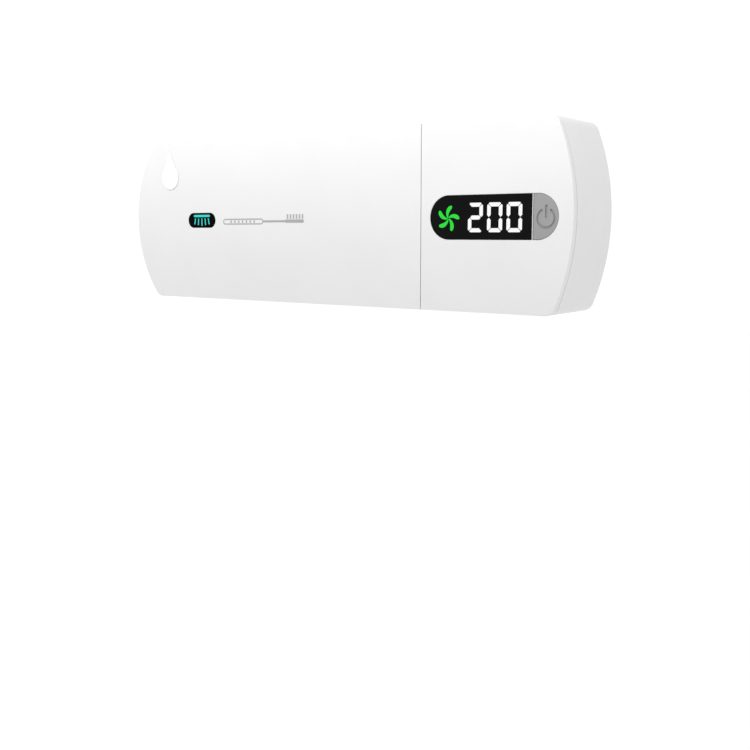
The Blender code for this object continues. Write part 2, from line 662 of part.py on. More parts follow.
def spider_outline():
    """Outline of a hub with three straight struts that run into the fan frame."""
    reach, half = FAN_BORE + 0.4 * MM, 0.8 * MM
    points = []
    for k in range(3):
        turn = 2 * pi * k / 3 + pi / 2
        along = Vector((cos(turn), sin(turn)))
        across = Vector((-sin(turn), cos(turn)))
        root = sqrt(FAN_HUB ** 2 - half ** 2)
        corners = [along * root - across * half, along * reach - across * half]
        corners += [along * reach + across * half, along * root + across * half]
        points += [(FAN_Y + corner.x, FAN_Z + corner.y) for corner in corners]
        leave, enter = turn + atan2(half, root), turn + 2 * pi / 3 - atan2(half, root)
        points += arc((FAN_Y, FAN_Z), FAN_HUB, leave, enter, 6)[1:-1]
    return points


def make_control_end():
    """Fixed front cover with its posts, the display behind its lens and the power key."""
    cover = plate("control_cover", [panel_outline()], FRONT_Y, COVER_BACK_Y, "Y", "white_shell")
    round_rim(cover, FRONT_Y, EDGE_ROUND, 3)
    window = pill(PILL_LEFT, PILL_RIGHT, PILL_HALF)
    cut(cover, plate("front_window", [window], FRONT_Y - WALL, COVER_BACK_Y + WALL, "Y"))
    rib = rectangle(*RIB_X, -PILL_HALF - GAP, PILL_HALF + GAP)
    join(cover, plate("window_rib", [rib], FRONT_Y + RIB_SINK, COVER_BACK_Y - RIB_SINK, "Y"))
    root_y = COVER_BACK_Y - EAR_ROOT
    posts = []
    for spot in POST_SPOTS:
        posts += [circle(spot, POST_RADIUS, 16), circle(spot, SCREW_HOLE, 16)]
    join(cover, plate("cover_posts", posts, root_y, BACK_INNER_Y - GAP, "Y"))
    standoffs = []
    for spot in STANDOFF_SPOTS:
        standoffs += [circle(spot, STANDOFF_RADIUS, 16), circle(spot, SCREW_HOLE, 16)]
    join(cover, plate("board_standoffs", standoffs, root_y, DISPLAY_BOARD_Y[0] - GAP, "Y"))

    lens = pill(PILL_LEFT + FIT, RIB_X[0] - FIT, PILL_HALF - FIT, round_right=False)
    plate("display_lens", [lens], FRONT_Y, FRONT_Y + LENS_THICK, "Y", "black_glass")
    face = DISPLAY_BOARD_Y[0] - GAP
    left, right, half = MODULE_SIZE
    module_low = (left, COVER_BACK_Y + GAP, -half)
    block("digit_module", module_low, (right, face, half), "part_black", BLOCK_ROUND)
    left, right, half = DISPLAY_BOARD_SIZE
    board_outline = rectangle(left, right, -half, half)
    holes = [circle(spot, SCREW_HOLE, 16) for spot in STANDOFF_SPOTS]
    plate("display_board", [board_outline] + holes, *DISPLAY_BOARD_Y, "Y", "board_green")
    for number, (x, z) in enumerate(STANDOFF_SPOTS, 1):
        pan_screw(f"display_screw_{number}", (x, DISPLAY_BOARD_Y[1] + GAP, z), "rear", 4.0 * MM)
    for number, (x, z) in enumerate(POST_SPOTS, 1):
        pan_screw(f"cover_screw_{number}", (x, BACK_OUTER_Y + GAP, z), "rear", 9.0 * MM)

    key_z = PILL_HALF - FIT
    outline = pill(KEY_LEFT, PILL_RIGHT - FIT, key_z, round_left=False)
    flange = pill(KEY_LEFT - 0.6 * MM, PILL_RIGHT + 0.7 * MM, key_z + 0.8 * MM, round_left=False)
    key = plate("power_key", [outline], FRONT_Y, COVER_BACK_Y + GAP + 0.5 * MM, "Y", "key_grey")
    round_rim(key, FRONT_Y, 0.3 * MM, 2)
    flange_y = (COVER_BACK_Y + GAP, COVER_BACK_Y + GAP + 1.0 * MM)
    join(key, plate("key_flange", [flange], *flange_y, "Y"))
    on_axis("power_key_axis", ((KEY_LEFT + PILL_RIGHT) / 2, FRONT_Y, 0.0), [key])
    left, right, half = SWITCH_SIZE
    switch_low = (left, flange_y[1] + KEY_TRAVEL + 0.1 * MM, -half)
    block("key_switch", switch_low, (right, face, half), "part_black", BLOCK_ROUND)


def port_outline(grow=0.0):
    """Round-ended outline of the charging port."""
    half_x, half_y = PORT_HALF[0] + grow, PORT_HALF[1] + grow
    return shifted(pill(-half_x, half_x, half_y), PORT_X, PORT_Y)


def make_electronics():
    """Main board, battery, lamp driver, door sensor and charging port."""
    left, right, half = MAIN_BOARD_SIZE
    outline = rectangle(left, right, -half, half)
    holes = [circle(spot, SCREW_HOLE, 16) for spot in MAIN_BOARD_SPOTS]
    plate("main_board", [outline] + holes, *MAIN_BOARD_Y, "Y", "board_green")
    for number, (x, z) in enumerate(MAIN_BOARD_SPOTS, 1):
        pan_screw(f"main_board_screw_{number}", (x, MAIN_BOARD_Y[0] - GAP, z), "front", 5.5 * MM)
    block("battery_pack", *BATTERY_BOX, "cell_wrap", 1.5 * MM)
    block("lamp_driver", *DRIVER_BOX, "part_black", 2 * BLOCK_ROUND)
    block("door_sensor", *SENSOR_BOX, "part_black", BLOCK_ROUND)

    mouth = -TOP_Z + 0.2 * MM
    port = plate("charging_port", [port_outline()], mouth, mouth + PORT_DEPTH, "Z", "steel")
    hollow_top = mouth + PORT_DEPTH - 1.0 * MM
    cut(port, plate("port_hollow", [port_outline(-GAP)], mouth - WALL, hollow_top, "Z"))
    half_x, half_y = TONGUE_HALF
    tongue_low = (PORT_X - half_x, PORT_Y - half_y, mouth + 1.0 * MM)
    tongue_high = (PORT_X + half_x, PORT_Y + half_y, mouth + PORT_DEPTH - 0.5 * MM)
    join(port, block("port_tongue", tongue_low, tongue_high))


make_wall_mount()
make_housing()
make_door()
make_rack()
make_lamp()
make_partition_and_fan()
make_control_end()
make_electronics()
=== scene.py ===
"""Looks of the wall-mounted toothbrush sanitizer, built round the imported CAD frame."""

from math import acos, atan2, cos, hypot, pi, radians, sin, sqrt

import bmesh
import bpy
from mathutils import Matrix, Vector


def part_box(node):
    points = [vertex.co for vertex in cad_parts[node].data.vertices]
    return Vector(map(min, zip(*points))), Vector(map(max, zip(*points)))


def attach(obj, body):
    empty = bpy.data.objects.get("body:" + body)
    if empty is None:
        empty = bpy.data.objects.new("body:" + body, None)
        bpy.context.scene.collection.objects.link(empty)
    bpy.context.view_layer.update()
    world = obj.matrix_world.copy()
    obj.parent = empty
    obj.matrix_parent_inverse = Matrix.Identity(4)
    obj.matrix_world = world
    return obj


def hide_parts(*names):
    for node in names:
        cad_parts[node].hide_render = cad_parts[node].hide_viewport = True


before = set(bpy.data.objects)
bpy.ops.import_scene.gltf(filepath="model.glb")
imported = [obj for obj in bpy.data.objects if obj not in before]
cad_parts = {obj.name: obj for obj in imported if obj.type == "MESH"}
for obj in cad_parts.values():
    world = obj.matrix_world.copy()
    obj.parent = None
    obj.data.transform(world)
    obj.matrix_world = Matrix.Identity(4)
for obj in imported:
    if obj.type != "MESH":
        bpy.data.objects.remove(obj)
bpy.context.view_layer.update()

MM = 0.001

DOOR_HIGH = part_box("door")[1]
COVER_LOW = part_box("control_cover")[0]
KEY_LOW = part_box("power_key")[0]
HOUSING_LOW, HOUSING_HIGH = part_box("rear_housing")
LENS_LOW, LENS_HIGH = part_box("display_lens")
BADGE_LOW, BADGE_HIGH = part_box("door_badge")
EMBLEM_LOW, EMBLEM_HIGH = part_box("door_emblem")
RACK_LOW, RACK_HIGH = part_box("brush_rack")
TUBE_LOW, TUBE_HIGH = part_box("lamp_tube")
REFLECTOR_LOW, REFLECTOR_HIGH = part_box("lamp_reflector")
PARTITION_LOW, PARTITION_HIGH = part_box("partition")
PORT_LOW, PORT_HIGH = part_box("charging_port")
BRACKET_LOW, BRACKET_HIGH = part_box("wall_bracket")
FAN_LOW, FAN_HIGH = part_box("fan_frame")
PINS = [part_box(f"hinge_pin_{side}") for side in ("left", "right")]
MAGNETS = [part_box(f"door_magnet_{side}") for side in ("left", "right")]
GRIPS = [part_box(f"slot_grip_{number}") for number in range(1, 6)]

# Sizes of the case that the frame's boxes give
FRONT_Y = COVER_LOW.y
TOP_Z = DOOR_HIGH.z
HALF_LENGTH = HOUSING_HIGH.x
PART_LINE_Y = HOUSING_LOW.y
REAR_Y = HOUSING_HIGH.y
SEAM_X = (DOOR_HIGH.x + COVER_LOW.x) / 2
HINGE_Y = (PINS[0][0].y + PINS[0][1].y) / 2
HINGE_Z = (PINS[0][0].z + PINS[0][1].z) / 2
KNUCKLE_XS = [(low.x + high.x) / 2 for low, high in PINS]
MAGNET_XS = [(low.x + high.x) / 2 for low, high in MAGNETS]
MAGNET_Z = (MAGNETS[0][0].z + MAGNETS[0][1].z) / 2
SLOT_XS = [(low.x + high.x) / 2 for low, high in GRIPS]

# Sizes that the boxes do not give, the same as in the design
GAP = 0.3 * MM
FIT = 0.15 * MM
WALL = 2.0 * MM
COVER_BACK_Y = FRONT_Y + 2.5 * MM
BACK_OUTER_Y = REAR_Y - 2.0 * MM
BACK_INNER_Y = BACK_OUTER_Y - WALL
FLOOR_Z = -TOP_Z + WALL
LEFT_END_RADIUS = 54.0 * MM
RIGHT_END_RADIUS = 86.0 * MM
CORNER_RADIUS = 4.5 * MM
KNUCKLE_HALF = 3.0 * MM
KNUCKLE_RADIUS = 2.2 * MM
PIN_BORE = 1.1 * MM
LUG_THICK = 2.0 * MM
SLOT_Y = -17.0 * MM
SLOT_HALF = 6.0 * MM
RACK_SLOT_HALF = 5.0 * MM
RACK_FOOT_SPOTS = [(x, RACK_HIGH.y - 3.0 * MM) for x in (-67.4 * MM, 11.9 * MM)]
GRIP_OUTER = 4.7 * MM
GRIP_INNER = 3.4 * MM
GRIP_FLANGE = 6.4 * MM
GRIP_STEP_Z = -28.2 * MM
POCKET_RADIUS = 2.7 * MM
POCKET_DEPTH = 1.5 * MM
PILL_LEFT = LENS_LOW.x - FIT
PILL_HALF = LENS_HIGH.z + FIT
PILL_RIGHT = 106.6 * MM
RIB_X = (96.25 * MM, 96.55 * MM)
KEY_LEFT = 96.7 * MM
POST_SPOTS = [(x, z) for x in (60.5 * MM, 99.0 * MM) for z in (-27.8 * MM, 27.8 * MM)]
BOARD_BOSS_SPOTS = ((64.0 * MM, 0.0), (101.0 * MM, 0.0))
BOARD_BOSS_Y = -9.7 * MM
BOSS_RADIUS = 2.8 * MM
SCREW_BORE = 1.3 * MM
ROOT_DEPTH = 0.6 * MM
HOOK_XS = (-30.0 * MM, 30.0 * MM)
HOOK_HALF = 5.0 * MM
WINDOW_Z = (-5.0 * MM, 4.3 * MM)

# Fillets: their widths, and the steps across them from the most visible to the hidden
EDGE_ROUND = 0.4 * MM
JOINT_ROUND = 0.15 * MM
BOLD_STEPS = 5
SOFT_STEPS = 4
SMALL_STEPS = 3
HIDDEN_STEPS = 2

# Least angles, in degrees, of the edges to fillet and of those that shade as sharp
CREASE = 25
HARD_CREASE = 50
SHADING_CREASE = 32

# Flat marks start a little above the face they lie on and end a little under it
MARK_PROUD = 0.02 * MM
MARK_SUNK = 0.05 * MM

# Points closer than this to a level are on it, and closer than the weld are one
SLACK = 0.01 * MM
WELD = 1e-7

# Steps round the arcs of outlines
END_SEGMENTS = 56
CORNER_SEGMENTS = 12
ROUND_SEGMENTS = 64
ARC_SEGMENTS = 48
MAGNET_SEGMENTS = 40
HOLE_SEGMENTS = 32
SLOT_SEGMENTS = 28
TURN_SEGMENTS = 8

# Turns that lay an outline's plane square to an axis
FACING = {
    "X": Matrix(((0, 0, 1, 0), (1, 0, 0, 0), (0, 1, 0, 0), (0, 0, 0, 1))),
    "Y": Matrix(((1, 0, 0, 0), (0, 0, -1, 0), (0, 1, 0, 0), (0, 0, 0, 1))),
    "Z": Matrix.Identity(4),
}


# Outlines

def at(centre, radius, turn):
    """Point at a radius and an angle from a centre."""
    return centre[0] + radius * cos(turn), centre[1] + radius * sin(turn)


def arc(centre, radius, start, end, segments):
    """Points on an arc with both ends, angles in radians."""
    return [at(centre, radius, start + (end - start) * k / segments) for k in range(segments + 1)]


def circle(centre, radius, segments=ROUND_SEGMENTS):
    """Closed round outline."""
    return arc(centre, radius, 0.0, 2 * pi, segments)[:-1]


def ring(centre, outer, inner):
    """Loops of a small round boss with its bore."""
    return [circle(centre, radius, HOLE_SEGMENTS) for radius in (outer, inner)]


def rectangle(low_u, high_u, low_v, high_v):
    """Closed four-cornered outline."""
    return [(low_u, low_v), (high_u, low_v), (high_u, high_v), (low_u, high_v)]


def rounded(low_u, high_u, low_v, high_v, radius):
    """Closed rectangle with round corners."""
    corners = [(high_u - radius, high_v - radius), (low_u + radius, high_v - radius)]
    corners += [(low_u + radius, low_v + radius), (high_u - radius, low_v + radius)]
    points = []
    for quarter, corner in enumerate(corners):
        start = quarter * pi / 2
        points += arc(corner, radius, start, (quarter + 1) * pi / 2, TURN_SEGMENTS)
    return points


def pill(left, right, half, round_left=True, round_right=True):
    """Closed bar outline about v = 0 whose ends are half circles or square."""
    points = [(right, -half), (right, half)]
    if round_right:
        points = arc((right - half, 0.0), half, -pi / 2, pi / 2, ROUND_SEGMENTS // 2)
    if round_left:
        return points + arc((left + half, 0.0), half, pi / 2, 3 * pi / 2, ROUND_SEGMENTS // 2)
    return points + [(left, half), (left, -half)]


def shifted(outline, u, v):
    """Outline moved in its own plane."""
    return [(point[0] + u, point[1] + v) for point in outline]


def upright(outline):
    """Outline with its two directions swapped."""
    return [(v, u) for u, v in outline]


def end_curve(side, inset=0.0):
    """Points down one bowed end, top to bottom; side is 1 on the right and -1 on the left."""
    bow_radius = RIGHT_END_RADIUS if side > 0 else LEFT_END_RADIUS
    centre = HALF_LENGTH - bow_radius
    lift = TOP_Z - CORNER_RADIUS
    corner = centre + sqrt((bow_radius - CORNER_RADIUS) ** 2 - lift ** 2)
    turn = atan2(lift, corner - centre)
    small = CORNER_RADIUS - inset
    upper = arc((corner, lift), small, pi / 2, turn, CORNER_SEGMENTS)
    bow = arc((centre, 0.0), bow_radius - inset, turn, -turn, END_SEGMENTS)
    lower = arc((corner, -lift), small, -turn, -pi / 2, CORNER_SEGMENTS)
    return [(side * u, v) for u, v in upper[:-1] + bow + lower[1:]]


def body_outline(inset=0.0):
    """Whole front outline of the body."""
    return end_curve(1, inset) + end_curve(-1, inset)[::-1]


def u_slot(x, half, mouth_y):
    """Open outline of a slot: in at the mouth, round the closed end and out again."""
    closed_end = arc((x, SLOT_Y), half, pi, 0.0, SLOT_SEGMENTS)
    return [(x - half, mouth_y)] + closed_end + [(x + half, mouth_y)]


def ear_outline(reach):
    """Side view of a hinge ear: round about the pin, with a root that reaches out by (y, z)."""
    toward = atan2(reach[1], reach[0])
    start, end = toward + pi / 2, toward + 3 * pi / 2
    head = arc((HINGE_Y, HINGE_Z), KNUCKLE_RADIUS, start, end, HOLE_SEGMENTS)
    length = hypot(*reach)
    root = [at(corner, length, toward) for corner in (head[-1], head[0])]
    return head + root


def pin_bore():
    """Hole for a hinge pin."""
    return circle((HINGE_Y, HINGE_Z), PIN_BORE, HOLE_SEGMENTS)


# Solids

def evaluated(piece):
    """Mesh that an object's modifiers or curve give."""
    bpy.context.view_layer.update()
    graph = bpy.context.evaluated_depsgraph_get()
    return bpy.data.meshes.new_from_object(piece.evaluated_get(graph))


def apply_all(piece):
    """Turn a piece's modifiers into its mesh."""
    old = piece.data
    mesh = evaluated(piece)
    piece.modifiers.clear()
    piece.data = mesh
    bpy.data.meshes.remove(old)


def link(name, data):
    """New object in the scene."""
    made = bpy.data.objects.new(name, data)
    bpy.context.scene.collection.objects.link(made)
    return made


def from_curve(name, curve, turn=FACING["Z"]):
    """Turned mesh of a curve, welded, with its flat faces merged and its normals outwards."""
    flat = radians(0.2)
    guide = link(name, curve)
    mesh = evaluated(guide)
    bpy.data.objects.remove(guide)
    mesh.transform(turn)
    shape = bmesh.new()
    shape.from_mesh(mesh)
    bmesh.ops.remove_doubles(shape, verts=shape.verts, dist=WELD)
    bmesh.ops.dissolve_limit(shape, angle_limit=flat, verts=shape.verts, edges=shape.edges)
    bmesh.ops.recalc_face_normals(shape, faces=shape.faces)
    shape.to_mesh(mesh)
    shape.free()
    return link(name, mesh)


def plate(name, loops, low, high, facing):
    """Flat outline with its holes, extruded between two levels along the axis that it faces."""
    curve = bpy.data.curves.new(name, "CURVE")
    curve.dimensions = "2D"
    curve.fill_mode = "BOTH"
    curve.extrude = (high - low) / 2
    for loop in loops:
        spline = curve.splines.new("POLY")
        spline.points.add(len(loop) - 1)
        for point, (u, v) in zip(spline.points, loop):
            point.co = (u, v, 0.0, 1.0)
        spline.use_cyclic_u = True
    sense = -1 if facing == "Y" else 1
    turn = FACING[facing] @ Matrix.Translation((0.0, 0.0, sense * (low + high) / 2))
    return from_curve(name, curve, turn)


def block(name, low, high):
    """Box between two corners."""
    return plate(name, [rectangle(low[0], high[0], low[1], high[1])], low[2], high[2], "Z")


def turned(name, profile, spot, turn):
    """Solid of revolution about a turned Z axis; the profile runs from the top down."""
    mesh = bpy.data.meshes.new(name)
    ends = [(index, index + 1) for index in range(len(profile) - 1)]
    mesh.from_pydata([(radius, 0.0, height) for radius, height in profile], ends, [])
    piece = link(name, mesh)
    screw = piece.modifiers.new("turn", "SCREW")
    screw.steps = screw.render_steps = 40
    screw.use_merge_vertices = True
    screw.merge_threshold = 1e-6
    apply_all(piece)
    piece.data.transform(Matrix.Translation(spot) @ turn)
    return piece


def combine(target, tool, operation):
    """Boolean of a piece with a tool, which is used up."""
    step = target.modifiers.new("step", "BOOLEAN")
    step.operation = operation
    step.solver = "EXACT"
    step.object = tool
    apply_all(target)
    used = tool.data
    bpy.data.objects.remove(tool)
    bpy.data.meshes.remove(used)


def cut(target, loops, low, high, facing):
    """Remove an extruded outline from the target."""
    combine(target, plate("tool", loops, low, high, facing), "DIFFERENCE")


def add(target, loops, low, high, facing):
    """Add an extruded outline to the target."""
    combine(target, plate("tool", loops, low, high, facing), "UNION")


def round_edges(piece, steps, chosen, width, sharper_than=CREASE):
    """Fillet the edges sharper than some degrees whose two ends both satisfy chosen(point)."""
    mesh = piece.data
    weights = mesh.attributes.get("bevel_weight_edge")
    weights = weights or mesh.attributes.new("bevel_weight_edge", "FLOAT", "EDGE")
    shape = bmesh.new()
    shape.from_mesh(mesh)
    picked = []
    for edge in shape.edges:
        sharp = len(edge.link_faces) == 2 and edge.calc_face_angle() > radians(sharper_than)
        picked.append(float(sharp and all(chosen(end.co) for end in edge.verts)))
    shape.free()
    weights.data.foreach_set("value", picked)
    bevel = piece.modifiers.new("fillet", "BEVEL")
    bevel.limit_method = "WEIGHT"
    bevel.width = width
    bevel.segments = steps
    bevel.use_clamp_overlap = True
    apply_all(piece)
    left = piece.data.attributes.get("bevel_weight_edge")
    if left:
        piece.data.attributes.remove(left)


def at_y(level):
    """Test for points at one Y level."""
    return lambda point: abs(point.y - level) < SLACK


def at_z(level):
    """Test for points at one Z level."""
    return lambda point: abs(point.z - level) < SLACK


def place(piece, body, material, slot, *nodes):
    """Shade a finished piece, give it its material and let it ride on its body."""
    piece.data.shade_smooth()
    piece.data.set_sharp_from_angle(angle=radians(SHADING_CREASE))
    weigh = piece.modifiers.new("even_shading", "WEIGHTED_NORMAL")
    weigh.keep_sharp = True
    piece.data.materials.clear()
    piece.data.materials.append(material)
    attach(piece, body)
    if nodes:
        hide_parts(*nodes)


# Materials

class Surface:
    """Principled material whose colour, roughness and relief come from procedural nodes."""

    def __init__(self, name, settings):
        self.material = bpy.data.materials.new(name)
        self.material.use_nodes = True
        self.nodes = self.material.node_tree.nodes
        self.links = self.material.node_tree.links
        self.shader = self.nodes["Principled BSDF"]
        for socket, value in settings.items():
            self.shader.inputs[socket].default_value = value
        self.where = self.nodes.new("ShaderNodeTexCoord").outputs["Object"]
        self.last_bump = None

    def node(self, kind, values, sources):
        """New node with some inputs set to values and others fed from sources."""
        made = self.nodes.new(f"ShaderNode{kind}")
        for socket, value in values.items():
            made.inputs[socket].default_value = value
        for socket, source in sources.items():
            self.links.new(source, made.inputs[socket])
        return made

    def mapped(self, setting, value):
        """Object coordinates with a scale or a rotation of their own."""
        return self.node("Mapping", {setting: value}, {"Vector": self.where}).outputs["Vector"]

    def noise(self, scale, detail=2.0, where=None):
        """Fractal noise, its scale in features per metre."""
        values = {"Scale": scale, "Detail": detail}
        return self.node("TexNoise", values, {"Vector": where or self.where}).outputs["Fac"]

    def span(self, source, low=0.0, high=1.0):
        """The middle of a noise's range spread between two values."""
        values = {"From Min": 0.3, "From Max": 0.7, "To Min": low, "To Max": high}
        return self.node("MapRange", values, {"Value": source}).outputs["Result"]

    def mix(self, first, second, source, socket="Base Color"):
        """Colour mixed between two and fed to one of the shader's sockets."""
        node = self.nodes.new("ShaderNodeMix")
        node.data_type = "RGBA"
        colours = [slot for slot in node.inputs if slot.type == "RGBA"]
        colours[0].default_value = (*first, 1.0)
        colours[1].default_value = (*second, 1.0)
        self.links.new(source, node.inputs["Factor"])
        result = [slot for slot in node.outputs if slot.type == "RGBA"][0]
        self.links.new(result, self.shader.inputs[socket])

    def rough(self, source, low, high):
        """Roughness that wanders between two values."""
        self.links.new(self.span(source, low, high), self.shader.inputs["Roughness"])

    def bump(self, source, height, strength=1.0):
        """Relief of the given height in metres, on top of any relief before it."""
        node = self.node("Bump", {"Strength": strength, "Distance": height}, {"Height": source})
        if self.last_bump:
            self.links.new(self.last_bump, node.inputs["Normal"])
        self.last_bump = node.outputs["Normal"]
        self.links.new(self.last_bump, self.shader.inputs["Normal"])


def darkened(colour, share):
    """Colour with every channel at a share of what it was."""
    return tuple(channel * share for channel in colour)


def moulded(name, colour, roughness, grain=2600.0, relief=0.004 * MM, settings=None):
    """Moulded plastic: spark-eroded grain, faint flow mottling and uneven gloss."""
    mottling, gloss_patches, waves = 38.0, 140.0, 60.0
    gloss_swing = 0.05
    wave_height = 0.012 * MM
    wave_strength = 0.35
    made = Surface(name, {"IOR": 1.5, **(settings or {})})
    made.mix(darkened(colour, 0.975), colour, made.span(made.noise(mottling, 3.0)))
    made.rough(made.noise(gloss_patches, 4.0), roughness - gloss_swing, roughness + gloss_swing)
    made.bump(made.noise(grain), relief)
    made.bump(made.noise(waves, 1.0), wave_height, wave_strength)
    return made.material


def metal(name, colour, roughness, grain_axis=0, relief=0.002 * MM):
    """Metal with fine drawn lines along one axis."""
    across, along, stains = 5200.0, 120.0, 320.0
    made = Surface(name, {"Metallic": 1.0})
    scale = [across, across, across]
    scale[grain_axis] = along
    lines = made.noise(1.0, 3.0, made.mapped("Scale", scale))
    made.mix(darkened(colour, 0.86), colour, made.span(lines))
    made.rough(made.noise(stains, 3.0), roughness - 0.06, roughness + 0.08)
    made.bump(lines, relief)
    return made.material


def glowing(name, colour):
    """Lit display segment: a dark window with even light and a faint diffuser grain."""
    diffuser, haze = 900.0, 500.0
    settings = {"Emission Strength": 1.0, "Specular IOR Level": 0.1}
    settings["Base Color"] = (0.01, 0.01, 0.01, 1.0)
    made = Surface(name, settings)
    made.mix(darkened(colour, 0.93), colour, made.span(made.noise(diffuser)), "Emission Color")
    made.rough(made.noise(haze), 0.4, 0.6)
    return made.material


def circuit_board():
    """Green solder mask over copper tracks."""
    mask_sheen = 500.0
    made = Surface("circuit_board", {"IOR": 1.5, "Coat Weight": 0.3})
    where = {"Vector": made.mapped("Rotation", (pi / 2, 0.0, 0.0))}
    tracks = made.node("TexBrick", {"Scale": 260.0, "Mortar Size": 0.06}, where).outputs["Fac"]
    made.mix((0.012, 0.13, 0.05), (0.03, 0.22, 0.09), tracks)
    made.rough(made.noise(mask_sheen), 0.3, 0.42)
    made.bump(tracks, 0.02 * MM)
    return made.material


def soft_rubber():
    """Silicone with a dusty matt skin."""
    dust, sheen, grain = 220.0, 400.0, 3200.0
    made = Surface("silicone", {"IOR": 1.42, "Sheen Weight": 0.25, "Sheen Roughness": 0.5})
    made.mix((0.47, 0.50, 0.53), (0.53, 0.56, 0.59), made.span(made.noise(dust, 4.0)))
    made.rough(made.noise(sheen, 3.0), 0.62, 0.78)
    made.bump(made.noise(grain), 0.006 * MM)
    return made.material


def foam_tape():
    """Closed-cell acrylic foam."""
    wear = 300.0
    made = Surface("foam_tape", {"IOR": 1.45})
    where = {"Vector": made.where}
    cells = made.node("TexVoronoi", {"Scale": 1500.0}, where).outputs["Distance"]
    made.mix((0.16, 0.16, 0.17), (0.27, 0.27, 0.28), cells)
    made.rough(made.noise(wear), 0.85, 0.95)
    made.bump(cells, 0.05 * MM)
    return made.material


def quartz():
    """Clear lamp glass."""
    haze, waves, wave_strength = 90.0, 45.0, 0.4
    settings = {"Transmission Weight": 0.92, "IOR": 1.46, "Base Color": (0.93, 0.96, 1.0, 1.0)}
    made = Surface("quartz", settings)
    made.rough(made.noise(haze), 0.01, 0.06)
    made.bump(made.noise(waves, 1.0), 0.02 * MM, wave_strength)
    return made.material


def display_black():
    """Smoked display window with the faintest dust in its polish."""
    dust, haze = 60.0, 240.0
    made = Surface("display_black", {"IOR": 1.45, "Specular IOR Level": 0.035})
    dust_cover = made.span(made.noise(dust, 3.0))
    made.mix((0.004, 0.004, 0.0042), (0.0055, 0.0055, 0.006), dust_cover)
    made.rough(made.noise(haze, 4.0), 0.10, 0.17)
    return made.material


INK_LIKE = {"grain": 3000.0, "relief": 0.002 * MM}
COARSE = {"grain": 1800.0, "relief": 0.008 * MM}
NO_SHINE = {"Specular IOR Level": 0.02}
WHITE = moulded("white_plastic", (0.665, 0.665, 0.665), 0.42)
# Lighter copy of the white plastic for the raised drop: a painted highlight on its face
HIGHLIT_RELIEF_WHITE = moulded("relief_plastic_painted_highlight", (0.76, 0.76, 0.76), 0.35)
INNER_WHITE = moulded("inner_white_plastic", (0.80, 0.81, 0.82), 0.5, **COARSE)
RACK_GREY = moulded("rack_plastic", (0.66, 0.68, 0.70), 0.48, **COARSE)
KEY_GREY = moulded("key_plastic", (0.26, 0.26, 0.262), 0.45, 2200.0, 0.006 * MM)
BADGE_BLACK = moulded("badge_plastic", (0.0008, 0.0008, 0.0008), 0.35, settings=NO_SHINE, **INK_LIKE)
PART_BLACK = moulded("black_plastic", (0.03, 0.03, 0.032), 0.5, 1400.0, 0.01 * MM)
CELL_WRAP = moulded("shrink_wrap", (0.05, 0.16, 0.42), 0.35, 900.0, 0.01 * MM)
PRINT_GREY = moulded("grey_ink", (0.32, 0.32, 0.325), 0.55, **INK_LIKE)
STEEL = metal("zinc_steel", (0.62, 0.63, 0.65), 0.32)
SCREW_STEEL = metal("screw_steel", (0.55, 0.56, 0.58), 0.28, 1)
NICKEL = metal("nickel", (0.72, 0.71, 0.69), 0.2, 1, 0.001 * MM)
MIRROR = metal("mirror_aluminium", (0.88, 0.89, 0.91), 0.12, 0, 0.001 * MM)
CONTACT_GOLD = metal("contact_gold", (0.83, 0.62, 0.25), 0.25, 2, 0.001 * MM)
BOARD = circuit_board()
SILICONE = soft_rubber()
FOAM = foam_tape()
QUARTZ = quartz()
DISPLAY_BLACK = display_black()
LIT_WHITE = glowing("lit_white", (1.0, 1.0, 1.0))
LIT_GREEN = glowing("lit_green", (0.012, 0.74, 0.035))
LIT_CYAN = glowing("lit_cyan", (0.04, 0.68, 0.62))


# Case

def port_outline(grow=0.0):
    """Outline of the charging socket."""
    half = (PORT_HIGH - PORT_LOW) / 2
    middle = (PORT_HIGH + PORT_LOW) / 2
    reach = half.x + grow
    return shifted(pill(-reach, reach, half.y + grow), middle.x, middle.y)


def open_floor(shell):
    """Cut the brush slots, the vents and the socket's opening into the floor."""
    vent_xs = [69.0 * MM + 3.2 * k * MM for k in range(-3, 4)]
    vent_y = -19.0 * MM
    vent_reach = 7.0 * MM
    vent_half = 0.9 * MM
    mouths_front_y = -31.0 * MM
    mouths_rear_y = -3.0 * MM

    slots = [u_slot(x, SLOT_HALF, FRONT_Y) for x in SLOT_XS]
    vent = upright(pill(-vent_reach, vent_reach, vent_half))
    vents = [shifted(vent, x, vent_y) for x in vent_xs]
    openings = slots + vents + [port_outline(GAP)]
    cut(shell, openings, -TOP_Z - WALL, FLOOR_Z + GAP, "Z")

    def on_mouth(point):
        """Test for the rims of the openings in the floor's outer face."""
        return at_z(-TOP_Z)(point) and mouths_front_y < point.y < mouths_rear_y

    round_edges(shell, SMALL_STEPS, on_mouth, width=0.4 * MM, sharper_than=HARD_CREASE)


def open_top(shell):
    """Slope the top wall away under the top edge of the door."""
    front_y = PART_LINE_Y - WALL
    foot_y = PART_LINE_Y + 0.05 * MM
    foot_z = TOP_Z - WALL - 0.1 * MM
    top_y = HINGE_Y - 1.0 * MM
    ramp = [(front_y, foot_z), (foot_y, foot_z)]
    ramp += [(top_y, TOP_Z), (top_y, TOP_Z + WALL), (front_y, TOP_Z + WALL)]
    cut(shell, [ramp], -HALF_LENGTH - WALL, SEAM_X, "X")


